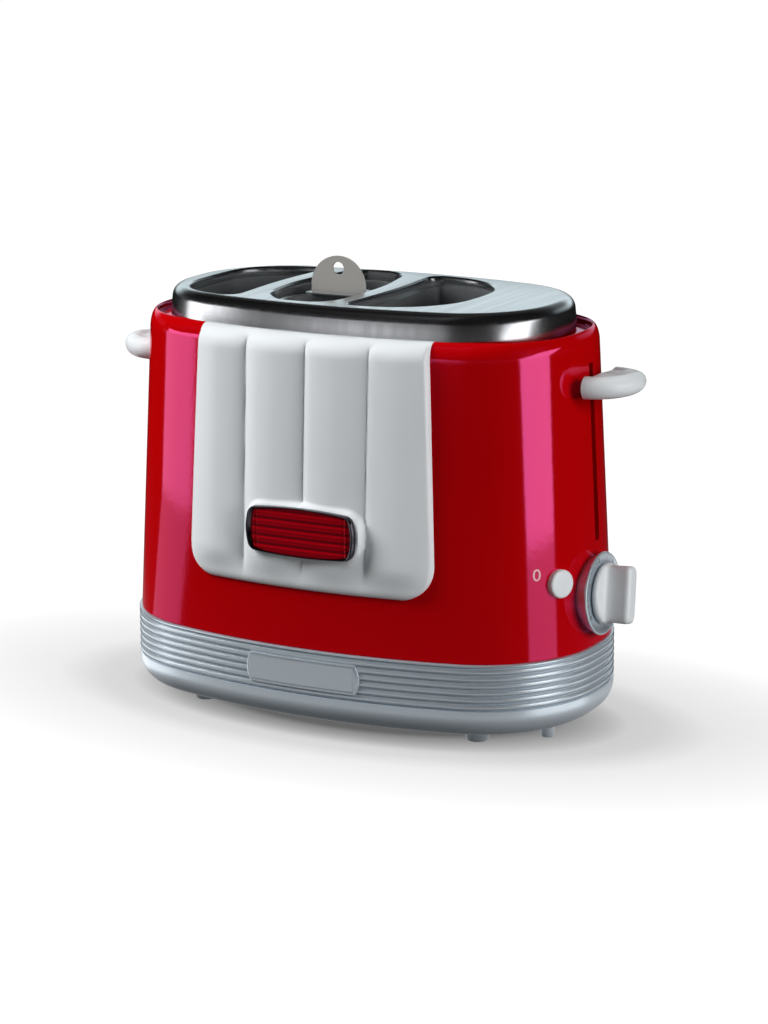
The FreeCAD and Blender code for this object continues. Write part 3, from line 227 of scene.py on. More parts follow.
finish = {
    "red_paint": enamel(),
    "white_plastic": moulded_white(),
    "satin_silver": silver_paint(),
    "brushed_steel": brushed("brushed_cover", linear(228, 230, 234), 0.19, (1.0, 0.03, 0.03), mark=0.015),
    "bright_steel": well_steel(),
    "tab_steel": brushed("tab_steel", linear(196, 194, 189), 0.34, (1.0, 1.0, 0.08), 1500.0, metallic=0.25),
    "dark_chrome": dark_chrome(),
    "badge_red": badge_field(),
    "zinc": plain("zinc_plate", linear(168, 170, 166), 0.35, 1.0, 180.0),
    "black_rubber": plain("black_rubber", (0.012, 0.012, 0.013), 0.65),
    "black_plastic": plain("black_plastic", (0.015, 0.015, 0.017), 0.38),
    "mica": plain("mica_board", linear(176, 160, 132), 0.45, 0.0, 240.0, 0.25),
    "steel_rod": brushed("steel_rod", linear(190, 192, 194), 0.18, (1.0, 1.0, 0.03)),
    "coil": plain("copper_coil", linear(170, 92, 52), 0.32, 1.0, 2000.0),
    "board": plain("circuit_board", linear(34, 92, 52), 0.40, 0.0, 500.0),
    "iron": plain("soft_iron", linear(96, 94, 92), 0.45, 1.0, 700.0),
    "spring_steel": brushed("spring_steel", linear(172, 172, 170), 0.22, (1, 1, 1), 1600.0),
    "printing": plain("dark_print", (0.02, 0.022, 0.026), 0.5),
    "pale_printing": plain("pale_print", linear(240, 205, 205), 0.5),
}

for part in frame["record"]["subparts"]:
    mesh = nodes[part["node"]].data
    mesh.materials.clear()
    mesh.materials.append(finish[part["material_slot"]])

# ---------------------------------------------------------------- shapes


class Plan:
    """Outline of eight tangent arcs: two long sides, two ends and four corners, each with its radius."""

    def __init__(self, length, width, side, end, corner):
        self.a, self.b, self.side, self.end, self.corner = length / 2, width / 2, side, end, corner
        ex, sy, ts, te = self.a - end, self.b - side, side - corner, end - corner
        gap = math.hypot(ex, sy)
        along = (ts ** 2 - te ** 2 + gap ** 2) / (2 * gap)
        across = math.sqrt(ts ** 2 - along ** 2)
        self.centre = max(((along * ex + sign * across * sy) / gap,
                           sy + (sign * across * ex - along * sy) / gap) for sign in (1, -1))
        x, y = self.centre
        self.low, self.high = math.atan2(y, x - ex), math.atan2(y - sy, x)

    def at(self, bearing, grow=0.0):
        """Point at a bearing of the outline moved out by grow: arc centre + (radius + grow) * normal."""
        bearing, grow = np.broadcast_arrays(bearing, grow)
        c, s = np.cos(bearing), np.sin(bearing)
        folded = np.arctan2(np.abs(s), np.abs(c))
        ends, sides = folded < self.low, folded > self.high
        cx = np.where(ends, self.a - self.end, np.where(sides, 0.0, self.centre[0]))
        cy = np.where(ends, 0.0, np.where(sides, self.b - self.side, self.centre[1]))
        radius = np.where(ends, self.end, np.where(sides, self.side, self.corner)) + grow
        return np.sign(c) * cx + radius * c, np.sign(s) * cy + radius * s

    def bearings(self, end, corner, side, extra=()):
        """Bearings of one turn, denser round the corners, with a few extra ones put in."""
        low, high, half = self.low, self.high, math.pi / 2
        quarter = [np.linspace(0, low, end + 1)[:-1], np.linspace(low, high, corner + 1)[:-1],
                   np.linspace(high, half, side + 1)[:-1]]
        first = np.concatenate(quarter)
        back = np.concatenate([first, [half]])
        full = np.concatenate([first, math.pi - back[::-1], (math.pi + first)[1:],
                               (2 * math.pi - back[::-1])[:-1]])
        return np.unique(np.round(np.concatenate([full, extra]), 7))


# Millimetres from here on: heights above the table, and outlines seen from above.
BASE = Plan(260.0, 155.4, 338.6, 193.8, 64.4)
COVER = Plan(217.0, 125.0, 338.6, 193.8, 52.0)
SEAM, BODY_TOP, COVER_TOP = 47.0, 206.0, 219.4
LEAN = math.radians(2.99)
BODY_STEP = 1.4
GUTTER = 2.2
WALL, SHEET = 2.5, 0.8
RIB_TOP, RIB_COUNT, RIB_PITCH = SEAM - 1.8, 6, 3.64


def wall(height):
    """How far the base's outline grows to become the painted wall at a height: less than 0, so inwards."""
    return -BODY_STEP - (np.asarray(height) - SEAM) * math.tan(LEAN)


def swept(plan, bearing, rows):
    """Section rows (grow, z) carried round a plan: point (i, j) is row j at bearing i."""
    rows = np.asarray(rows, float)
    x, y = plan.at(bearing[:, None], rows[None, :, 0])
    return np.stack([x, y, np.broadcast_to(rows[:, 1], x.shape)], axis=-1)


def ring(points, hole=None, closed=True):
    """Quads over a grid closed both ways. A hole (columns, outer rows, inner rows) gets sides of its own."""
    around, along = points.shape[:2]
    index = np.arange(around * along).reshape(around, along)
    ahead = np.roll(index, -1, axis=0)
    quads = np.stack([index, ahead, np.roll(ahead, -1, axis=1), np.roll(index, -1, axis=1)], axis=-1)
    keep = np.ones((around, along), bool)
    if not closed:
        keep[:, -1] = False
    sides = []
    if hole:
        (c0, c1), (o0, o1), (i0, i1) = hole
        keep[c0:c1, o0:o1] = False
        keep[c0:c1, i0:i1] = False
        outer, inner = index[:, o0:o1 + 1], index[:, i0:i1 + 1][:, ::-1]
        for c in (c0, c1):
            sides.append(np.stack([outer[c, :-1], outer[c, 1:], inner[c, 1:], inner[c, :-1]], axis=-1))
        for k in (0, -1):
            sides.append(np.stack([outer[c0:c1, k], outer[c0 + 1:c1 + 1, k], inner[c0 + 1:c1 + 1, k],
                                   inner[c0:c1, k]], axis=-1))
    return points.reshape(-1, 3), [tuple(q) for q in np.concatenate([quads[keep], *sides]).tolist()]


def patch(points):
    """Quads over an open grid."""
    rows, columns = points.shape[:2]
    index = np.arange(rows * columns).reshape(rows, columns)
    quads = np.stack([index[:-1, :-1], index[1:, :-1], index[1:, 1:], index[:-1, 1:]], axis=-1)
    return points.reshape(-1, 3), [tuple(q) for q in quads.reshape(-1, 4).tolist()]


def slab(front, back):
    """Closed skin of two open grids and the band between their borders."""
    rows, columns = front.shape[:2]
    total = rows * columns
    border = np.concatenate([np.arange(columns), np.arange(1, rows) * columns + columns - 1,
                             (rows - 1) * columns + np.arange(columns - 1)[::-1],
                             np.arange(1, rows - 1)[::-1] * columns])
    ahead = np.roll(border, -1)
    band = np.stack([border, ahead, ahead + total, border + total], axis=-1).tolist()
    (near, faces), (far, _) = patch(front), patch(back)
    return (np.concatenate([near, far]),
            faces + [tuple(i + total for i in face) for face in faces] + [tuple(face) for face in band])


SAME_SPOT = 2e-6


def piece(name, parts, slot, body="housing", instead=(), sharp=40.0):
    """Join (points in mm, faces) into one object in metres: doubles merged, faces outwards, soft on curves."""
    points = np.concatenate([p for p, _ in parts]) * MM
    starts = np.cumsum([0] + [len(p) for p, _ in parts[:-1]])
    faces = [tuple(int(i) + int(start) for i in face) for (_, fs), start in zip(parts, starts) for face in fs]
    mesh = bpy.data.meshes.new(name)
    mesh.from_pydata(points.tolist(), [], faces)
    work = bmesh.new()
    work.from_mesh(mesh)
    bmesh.ops.remove_doubles(work, verts=work.verts, dist=SAME_SPOT)
    bmesh.ops.recalc_face_normals(work, faces=work.faces)
    work.to_mesh(mesh)
    work.free()
    mesh.materials.append(finish[slot])
    mesh.shade_smooth()
    mesh.set_sharp_from_angle(angle=math.radians(sharp))
    made = bpy.data.objects.new(name, mesh)
    scene.collection.objects.link(made)
    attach(made, body)
    if instead:
        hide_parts(*instead)
    return made


def arc(cx, cz, radius, start, stop, steps):
    """Points (grow, z) on a circle between two angles in degrees."""
    turn = np.radians(np.linspace(start, stop, steps + 1))
    return np.stack([cx + radius * np.cos(turn), cz + radius * np.sin(turn)], axis=-1)


# ---------------------------------------------------------------- painted body


def painted_body():
    """The outline shrinks by tan(lean) per height, then a quarter ellipse turns in to a crest that falls into
    a gutter beside the cover: a small one at the ends, a deeper one along the sides, where the sine of the
    bearing is near 1. The lever's slot is cut through the right end."""
    slot_y, slot_z, slot_middle, slot_rows = np.array([2.5, 7.5]), (99.5, 190.0), 145.0, 8
    start, clearance, small, deeper = 197.5, 0.6, 3.0, 4.2
    slot_side = np.arcsin(slot_y / (BASE.end + wall(slot_middle)))
    bearing = BASE.bearings(4, 26, 12, slot_side)
    heights = np.array([SEAM + 0.5, 60, 75, 88, *np.linspace(*slot_z, slot_rows + 1), 196.0])
    turn = np.radians(np.linspace(0, 90, 14))
    rise = start + (BODY_TOP - start) * np.sin(turn)
    room = np.hypot(*(np.array(BASE.at(bearing, wall(start))) - np.array(COVER.at(bearing))))
    deep = np.clip(room - clearance, small, small + deeper * np.abs(np.sin(bearing)) ** 4)
    shoulder = wall(rise)[None] - deep[:, None] * (1 - np.cos(turn))
    crest = np.array([(-0.5, -0.4), (-0.9, -1.3), (-0.97, -3.6)])
    straight = np.broadcast_to(np.append(wall(SEAM) - 0.5, wall(heights)), (len(bearing), len(heights) + 1))
    grow = np.concatenate([straight, shoulder, shoulder[:, -1:] + crest[:, 0]], axis=1)
    x, y = BASE.at(bearing[:, None], grow)
    z = np.concatenate([[SEAM], heights, rise, BODY_TOP + crest[:, 1]])
    outer = np.stack([x, y, np.broadcast_to(z, x.shape)], axis=-1)
    under_cover = -2.4
    mouth = swept(COVER, bearing, [(under_cover, BODY_TOP - GUTTER - 0.9), (under_cover, BODY_TOP - 4.6)])
    inner = swept(BASE, bearing, [*zip(wall(heights[::-1]) - WALL, heights[::-1]), (wall(SEAM) - WALL, SEAM)])
    first, last = (int(np.argmin(np.abs(bearing - side))) for side in slot_side)
    low = 1 + int(np.argmin(np.abs(heights - slot_z[0])))
    back = outer.shape[1] + mouth.shape[1] + int(np.argmin(np.abs(heights[::-1] - slot_z[1])))
    hole = ((first, last), (low, low + slot_rows), (back, back + slot_rows))
    return piece("painted_body", [ring(np.concatenate([outer, mouth, inner], axis=1), hole)], "red_paint",
                 instead=["body_shell"])


# ---------------------------------------------------------------- ribbed base


def ribbed_base():
    """Six round ribs: the wall follows 1 - sqrt|sin| of the height, then a quarter ellipse turns in to the
    floor. The rear wall is open where the crumb tray slides out."""
    deep, inset, ground = 1.3, 9.0, 9.0
    slot_low, slot_high, slot_edge = 11.5, 21.9, 60.4
    low = RIB_TOP - RIB_COUNT * RIB_PITCH
    steps = np.linspace(0, RIB_COUNT, RIB_COUNT * 10 + 1)
    groove = deep * (1 - np.sqrt(np.abs(np.sin(math.pi * steps))))
    ribs = np.stack([-groove, RIB_TOP - steps * RIB_PITCH], axis=-1)
    turn = low - 2.4
    drop = turn - ground
    slot_swing = math.asin((turn - slot_low) / drop)
    swing = np.unique(np.concatenate([np.linspace(0, math.pi / 2, 13), [slot_swing]]))
    bend = np.stack([-inset * (1 - np.cos(swing)), turn - drop * np.sin(swing)], axis=-1)
    crown = arc(-0.9, SEAM - 0.9, 0.9, 90.0, 0.0, 4)
    skin = np.concatenate([[(-2.0, SEAM)], crown, ribs, [(0.0, low - 0.5), (0.0, slot_high)], bend])
    first = len(skin) - len(bend) - 1
    last = len(skin) - len(bend) + int(np.argmin(np.abs(swing - slot_swing)))
    inner_foot, inner_wall = -inset - WALL, -WALL - 1.0
    inside = np.concatenate([[(inner_foot, ground), (inner_foot, ground + 1.5)],
                             skin[first:last + 1][::-1] - (WALL, 0), [(inner_wall, low), (inner_wall, SEAM)]])
    rows = np.concatenate([skin, inside])
    bearing = BASE.bearings(4, 24, 22)
    rear = (bearing > BASE.high) & (bearing < math.pi - BASE.high)
    side_x = BASE.side * np.cos(bearing)
    behind = np.where(rear, side_x, np.inf)
    gates = [int(np.argmin(np.abs(behind - side))) for side in (slot_edge, -slot_edge)]
    side_x[gates] = slot_edge, -slot_edge
    points = swept(BASE, bearing, rows)
    reach = BASE.side * math.cos(BASE.high)
    share = np.clip((np.abs(side_x) - slot_edge) / (reach - slot_edge), 0, 1)
    x = side_x[:, None] + np.sign(side_x)[:, None] * share[:, None] * rows[None, :, 0] * math.cos(BASE.high)
    y = BASE.b - BASE.side + np.sqrt(np.maximum((BASE.side + rows[None, :, 0]) ** 2 - x ** 2, 0))
    points[rear, :, 0], points[rear, :, 1] = x[rear], y[rear]
    start = len(skin) + 2
    hole = (gates, (first, last), (start, start + last - first))
    floor = swept(BASE, bearing, [(-inset - 0.5, ground), (-inset - 0.5, ground + 2.4)])
    count = len(bearing)
    faces = [tuple(range(count)), tuple(range(count, 2 * count))]
    faces += [(i, (i + 1) % count, count + (i + 1) % count, count + i) for i in range(count)]
    return piece("ribbed_base", [ring(points, hole), (floor.transpose(1, 0, 2).reshape(-1, 3), faces)],
                 "satin_silver", instead=["base_shell"], sharp=50.0)


def barrel(half_x, half_z, bow_x, bow_z, corner):
    """Barrel outline: four bowed edges and rounded corners, as a plan in X and Z."""
    return Plan(2 * half_x, 2 * half_z, (half_x ** 2 + bow_z ** 2) / (2 * bow_z),
                (half_z ** 2 + bow_x ** 2) / (2 * bow_x), corner)


def blank_plate():
    """Blank plate across four ribs: a barrel outline laid on the base's curve, with a rounded rim."""
    middle = RIB_TOP - RIB_COUNT / 2 * RIB_PITCH
    shape = barrel(32.4, 7.9, 2.4, 0.02, 1.2)
    bearing = shape.bearings(8, 6, 24)
    rows = [(0.0, -2.5), (0.0, 0.1), (-0.12, 0.40), (-0.45, 0.6), (-1.0, 0.6), (-1.25, 0.40), (-1.45, 0.40),
            (-1.6, 0.5)]

    def laid(x, z, out):
        y = BASE.side - BASE.b - np.sqrt((BASE.side + out) ** 2 - x ** 2)
        return np.stack([x, y, z + middle], axis=-1)

    loops = [laid(*shape.at(bearing, grow), out) for grow, out in rows]
    last_grow, level = rows[-1]
    x, z = shape.at(bearing, last_grow)
    loops += [laid(x, z * share, level) for share in np.linspace(1, 0, 7)[1:]]
    return piece("blank_plate", [ring(np.stack(loops, axis=1), closed=False)], "satin_silver",
                 instead=["name_plate"])


# ---------------------------------------------------------------- fluted panel and badge

PANEL_LOW, PANEL_THICK, FLUTE_DEEP = 77.5, 1.6, 3.8
BADGE = (1.6, 108.0)


def smooth(value, low, high):
    """0 below low, 1 above high, an S curve between."""
    share = np.clip((np.asarray(value) - low) / (high - low), 0, 1)
    return share * share * (3 - 2 * share)


def pad_distance(x, z, grow):
    """Signed distance, near enough, from the outline of the badge's pad grown by a step: half length and half
    height shrink with the square of the distance from the middle."""
    long, tall, bow_x, bow_z = 31.9, 12.5, 2.5, 1.6
    x, z = np.abs(x - BADGE[0]), np.abs(z - BADGE[1])
    half_x = long + grow - bow_x * np.clip(z / tall, 0, 1.3) ** 2
    half_z = tall + grow - bow_z * np.clip(x / long, 0, 1.2) ** 2
    corner = 5.0 + grow * 0.8
    qx, qz = x - half_x + corner, z - half_z + corner
    return np.hypot(np.maximum(qx, 0), np.maximum(qz, 0)) + np.minimum(np.maximum(qx, qz), 0) - corner


def panel_crest():
    """How far the badge's pad stands in front of the middle plane: a little proud of the flutes."""
    proud = 0.2
    return BASE.b + float(wall(BADGE[1])) + PANEL_THICK + FLUTE_DEEP + proud


def fluted_panel():
    """Four flutes: circular bows between valleys, fading out at the foot and rolling over the body's shoulder
    at the top. The pad of the badge rises out of them through an S curve."""
    corner, straight, over = 18, 118, 10.5
    quarter = np.linspace(0, math.pi / 2, 15)
    v = np.concatenate([corner * (1 - np.cos(quarter)), np.linspace(corner, straight, 101)[1:],
                        straight + over * np.sin(np.linspace(0, math.pi / 2, 13))[1:]])
    foot_half, taper = 70.6, 5.8
    low = np.clip(corner - v, 0, corner)
    half = foot_half - taper * v / (BODY_TOP - PANEL_LOW) - corner + np.sqrt(corner ** 2 - low ** 2)
    rim, field_inset = np.array([0, 0.15, 0.4, 0.8, 1.3, 1.9, 2.6]), 3.3
    u = np.linspace(-1, 1, 169)
    x = np.stack([np.concatenate([rim - width, u * (width - field_inset), width - rim[::-1]])
                  for width in half])
    z = np.broadcast_to((PANEL_LOW + v)[:, None], x.shape)
    pitch, ease = 34.56, 0.03
    across = x / pitch
    part = np.abs(2 * (across - np.floor(across)) - 1)
    part = np.where(np.abs(x) > 2 * pitch, 1.0, part)
    soft = np.sqrt(1 + ease - np.minimum(part, 1) ** 1.6) - math.sqrt(ease)
    flute = FLUTE_DEEP * soft / (math.sqrt(1 + ease) - math.sqrt(ease))
    fade, share, foot_bow = smooth(z, PANEL_LOW + 1.5, PANEL_LOW + 17.0), 0.97, 0.9
    out = PANEL_THICK + share * flute * fade + foot_bow * (1 - fade) * smooth(v[:, None], 0, 4)
    edge_round, roll, roll_start = 1.7, 9.5, 196.5
    edge = np.clip(np.minimum(half[:, None] - np.abs(x), v[:, None]) / edge_round, 0, 1)
    out = out * np.sqrt(1 - (1 - edge) ** 2)
    drop = np.clip(z - roll_start, 0, roll - 0.1)
    out = out - (roll - np.sqrt(roll ** 2 - drop ** 2))
    shoulder, shoulder_start = 5.0, 201.0
    rise = np.clip(z - shoulder_start, 0, shoulder)
    fall = shoulder - np.sqrt(shoulder ** 2 + 0.01 - rise ** 2)
    out = np.maximum(out, 0.35 * np.sign(edge) - fall)
    radius = BASE.side + wall(z)
    pad = np.hypot(panel_crest() + BASE.side - BASE.b, x) - radius
    mask = 1 - smooth(pad_distance(x, z, 0.2), 0.0, 2.2)
    out = np.where(mask > 0, out + (np.maximum(pad, out) - out) * mask, out)
    skins = [np.stack([x, BASE.side - BASE.b - np.sqrt(reach ** 2 - x ** 2), z], axis=-1)
             for reach in (radius + out, radius - 1.0 - fall)]
    return piece("fluted_panel", [slab(*skins)], "white_plastic", instead=["front_panel"], sharp=50.0)


def badge():
    """Smoked rim between two barrel outlines, thin along the long edges and wide at the ends, and a ribbed
    ruby field inside it whose ribs end in small beads."""
    front = -panel_crest()
    outer, inner = barrel(30.9, 12.6, 2.5, 1.6, 5.0), barrel(28.3, 11.7, 2.3, 1.9, 3.4)
    bearing = outer.bearings(10, 12, 20)
    rows = np.array([(0.0, 0.05), (0.0, -1.5), (0.06, -2.1), (0.2, -2.55), (0.45, -2.6), (0.75, -2.2),
                     (1.0, -1.6), (1.0, -1.0), (1.12, -1.0), (1.12, 0.05)])
    (outer_x, outer_z), (inner_x, inner_z) = outer.at(bearing), inner.at(bearing)
    x = outer_x[:, None] + (inner_x - outer_x)[:, None] * rows[None, :, 0]
    z = outer_z[:, None] + (inner_z - outer_z)[:, None] * rows[None, :, 0]
    y = np.broadcast_to(front + rows[None, :, 1], x.shape)
    piece("badge_rim", [ring(np.stack([x + BADGE[0], y, z + BADGE[1]], axis=-1))], "dark_chrome",
          instead=["badge_bezel"])
    half_x, half_z, rib_pitch, bead_at, bead_wide = 28.6, 11.9, 2.24, 2.6, 0.55
    u, v = np.meshgrid(np.linspace(-1, 1, 121), np.linspace(-1, 1, 129), indexing="ij")
    x = half_x * u * (1 - 0.075 * np.abs(v) ** 2.4 - 0.03 * np.abs(v) ** 12)
    z = half_z * v * (1 - 0.155 * np.abs(u) ** 2.2 - 0.03 * np.abs(u) ** 14)
    rib = np.abs(np.cos(math.pi * z / rib_pitch)) ** 0.7
    ends = half_x - np.abs(x)
    beads = np.exp(-((ends - bead_at) / bead_wide) ** 2)
    crown = 0.6 * (1 - u ** 2) * smooth(ends, 1.0, 4.0)
    out = 0.32 * rib * smooth(ends, 3.4, 4.6) + 0.75 * rib * beads + crown
    face = np.stack([x + BADGE[0], front - 1.35 - out, z + BADGE[1]], axis=-1)
    back = face.copy()
    back[..., 1] = front - 1.0
    piece("badge_field", [slab(face, back)], "badge_red", instead=["badge_insert"], sharp=70.0)


# ---------------------------------------------------------------- steel cover


def rounded(corners, steps=10):
    """Closed outline through corners (x, y, radius): a tangent arc at each, with its outward normals."""
    spots = np.array([(x, y) for x, y, _ in corners], float)
    places, normals = [], []
    for i, (spot, (_, _, radius)) in enumerate(zip(spots, corners)):
        back, ahead = spots[i - 1] - spot, spots[(i + 1) % len(spots)] - spot
        back, ahead = back / np.linalg.norm(back), ahead / np.linalg.norm(ahead)
        half = math.acos(float(np.clip(back @ ahead, -1, 1))) / 2
        reach = radius / math.tan(half)
        bisector = (back + ahead) / np.linalg.norm(back + ahead)
        centre = spot + bisector * radius / math.sin(half)
        start, stop = spot + back * reach - centre, spot + ahead * reach - centre
        a0 = math.atan2(start[1], start[0])
        sweep = (math.atan2(stop[1], stop[0]) - a0 + math.pi) % (2 * math.pi) - math.pi
        turn = a0 + np.linspace(0, sweep, steps + 1)
        radial = np.stack([np.cos(turn), np.sin(turn)], axis=-1)
        places.append(centre + radius * radial)
        normals.append(radial * (1 if sweep > 0 else -1))
    return np.concatenate(places), np.concatenate(normals)


def opening(kind):
    """Outline of one of the three openings, seen from above: two halves of a D and an eye between them."""
    if kind == "sausage":
        eye = [(-5, -49.4, 12), (1.6, -38, 26), (2.6, 8, 160), (-7, 53.4, 16), (-36, 53.4, 16),
               (-46.6, 8, 110), (-42, -32, 30), (-27, -49.4, 13)]
        return rounded(eye)
    inner, half, bow, far, shift_x, shift_y = 34.5, 50.5, 3.5, 47.5, -21.5, 1.0
    width, corner = (39.0, 36.0) if kind == "left_bun" else (48.0, 41.0)
    outer = inner + width
    corners = [(inner - bow, -half, 7), (outer - 1.5, -far, corner), (outer, 0, 60),
               (outer - 1.5, far, corner), (inner - bow, half, 7), (inner, 0, 330)]
    if kind == "left_bun":
        corners = [(-x, y, radius) for x, y, radius in reversed(corners)]
    return rounded([(shift_x + x, shift_y + y, radius) for x, y, radius in corners])


def steel_cover():
    """Leaning skirt that dips into the body's gutter, a rounded shoulder and a level top. Each opening has a
    rolled lip that turns down."""
    bearing = COVER.bearings(4, 26, 14)
    lean_degrees, edge = 6.0, 6.2
    lean, foot = math.radians(lean_degrees), BODY_TOP - GUTTER + 0.2

    def line(z):
        return -(z - BODY_TOP) * math.tan(lean)

    centre = (line(COVER_TOP - edge) - edge / math.cos(lean), COVER_TOP - edge)
    skirt = [(0.0, foot), *((line(z), z) for z in (BODY_TOP + 1.0, BODY_TOP + 4.0))]
    skin = np.concatenate([skirt, arc(*centre, edge, lean_degrees, 90.0, 12)])
    under = np.concatenate([[(centre[0], COVER_TOP - SHEET)],
                            arc(*centre, edge - SHEET, 90.0, lean_degrees, 6)[1:], [(-SHEET, foot)]])
    outer = swept(COVER, bearing, np.concatenate([under, skin]))
    parts = [ring(outer, closed=False)]
    loops = {level: [row] for level, row in ((COVER_TOP, outer[:, -1]), (COVER_TOP - SHEET, outer[:, 0]))}
    for kind in ("left_bun", "sausage", "right_bun"):
        spots, normals = opening(kind)
        lip = [(1.5, 0.0), (1.1, 0.03), (0.65, -0.08), (0.25, -0.4), (0.0, -0.9), (0.0, -3.2), (0.5, -3.2),
               (0.5, -1.2), (0.9, -SHEET), (1.5, -SHEET)]
        rows = [np.concatenate([spots + normals * grow, np.full((len(spots), 1), COVER_TOP + z)], axis=1)
                for grow, z in lip]
        parts.append(ring(np.stack(rows, axis=1), closed=False))
        loops[COVER_TOP].append(rows[0])
        loops[COVER_TOP - SHEET].append(rows[-1])
    for level, rings in loops.items():
        flat = np.concatenate(rings)
        parts.append((flat, [tuple(t) for t in tessellate_polygon([[Vector(p) for p in r] for r in rings])]))
    return piece("steel_cover", parts, "brushed_steel", instead=["top_cover"], sharp=35.0)


# ---------------------------------------------------------------- knobs and controls

PADDLE_RADIUS, PADDLE_HALF = 24.5, 5.35
GRIP_LEVEL, LEVER_TRAVEL = 181.5, 76.0


def paddle(name, x_wall, x_centre, y, side, body, node):
    """Half round paddle: a disc section (radius, height) turned about an upright axis and stopped at a plane.
    The angle of each point is scaled so that the last one lies on the plane. The section grows thicker
    below towards the front and flatter on top towards the back."""
    half = PADDLE_HALF
    rim = arc(PADDLE_RADIUS - half, 0.0, half, 90.0, -90.0, 18)
    dish = [(2.4, half - 1.6), (8.0, half - 1.7), (12.5, half - 1.6), (14.6, half - 1.3), (16.2, half - 0.7),
            (17.6, half - 0.2)]
    under = [(15.0, -half), (8.0, -half + 0.1), (2.4, -half + 0.15)]
    r, h = np.concatenate([dish, rim, under]).T
    most = np.arccos(np.clip(side * (x_wall - x_centre) / r, -1, 1))
    angle = np.linspace(-1, 1, 49)[:, None] * most[None]
    along = r * np.sin(angle)
    flatter, thicker = 0.40, 0.16
    thick = np.where(h > 0, 1 - flatter * np.clip(along / PADDLE_RADIUS, 0, 1),
                     1 + thicker * np.clip(-along / PADDLE_RADIUS, 0, 1))
    points = np.stack([x_centre + side * r * np.cos(angle), y + along, GRIP_LEVEL + h * thick], axis=-1)
    spots, faces = patch(points)
    columns = points.shape[1]
    back = tuple(range(columns)) + tuple(range(len(spots) - columns, len(spots)))[::-1]
    return piece(name, [(spots, faces + [back])], "white_plastic", body, [node], sharp=55.0)


def grips():
    """The lever's paddle clears the leaning wall at the end of its travel; the fixed one is sunk into it."""
    lowest = GRIP_LEVEL - LEVER_TRAVEL - PADDLE_HALF
    lever_wall = BASE.a + float(wall(lowest)) + 0.7
    grip_wall = BASE.a + float(wall(GRIP_LEVEL))
    paddle("lever_paddle", lever_wall, lever_wall - 2.0, 5.0, 1, "carriage", "lever_knob")
    paddle("grip_paddle", 3.2 - grip_wall, 0.3 - grip_wall, 0.0, -1, "housing", "left_grip")


def lathe(section, place, steps):
    """A section (radius, height) turned about an axis: place is an origin and the unit vectors x, y and axis."""
    origin, ex, ey, ez = (np.asarray(v, float) for v in place)
    turn = np.linspace(0, 2 * math.pi, steps, endpoint=False)
    section = np.asarray(section, float)
    r, h = section[:, 0], section[:, 1]
    return (origin + r[None, :, None] * (np.cos(turn)[:, None, None] * ex + np.sin(turn)[:, None, None] * ey)
            + h[None, :, None] * ez)


def facing(spot, normal):
    """Origin and axes on the wall: level to the side, up the wall, and outwards."""
    n = np.asarray(normal, float)
    n /= np.linalg.norm(n)
    level = np.cross((0, 0, 1), n)
    level /= np.linalg.norm(level)
    return np.asarray(spot, float), level, np.cross(n, level), n


# Where the dial and the button stand on the painted wall, with the wall's outward normals.
DIAL = facing((127.156, -2.956, 74.2), (0.99852, -0.01546, 0.05216))
BUTTON = facing((121.02, -30.672, 84.8), (0.90872, -0.41413, 0.05216))


def lettering(name, text, place, height, offset, narrow=1.0):
    """A printed figure: text of a given height as a thin slab, set on a wall frame at (across, up, out)."""
    curve = bpy.data.curves.new(name, "FONT")
    curve.body, curve.size, curve.extrude = text, 1.0, 0.0
    curve.align_x, curve.align_y = "CENTER", "CENTER"
    curve.resolution_u = 6
    maker = bpy.data.objects.new(name + "_curve", curve)
    scene.collection.objects.link(maker)
    bpy.context.view_layer.update()
    mesh = bpy.data.meshes.new_from_object(maker.evaluated_get(bpy.context.evaluated_depsgraph_get()))
    bpy.data.objects.remove(maker)
    count = len(mesh.vertices)
    flat = np.empty(count * 3)
    mesh.vertices.foreach_get("co", flat)
    flat = flat.reshape(-1, 3)
    faces = [tuple(p.vertices) for p in mesh.polygons]
    scale, ink = height / np.ptp(flat[:, 1]), 0.05
    origin, level, upright, outward = place
    spots = (flat[:, 0:1] * scale * narrow + offset[0]) * level + (flat[:, 1:2] * scale + offset[1]) * upright
    low = origin + spots + offset[2] * outward
    sides = {pair for face in faces for pair in zip(face, face[1:] + face[:1])}
    edges = sorted((a, b) for a, b in sides if (b, a) not in sides)
    whole = faces + [tuple(i + count for i in face) for face in faces]
    whole += [(a, b, b + count, a + count) for a, b in edges]
    return [(np.concatenate([low, low + ink * outward]), whole)]


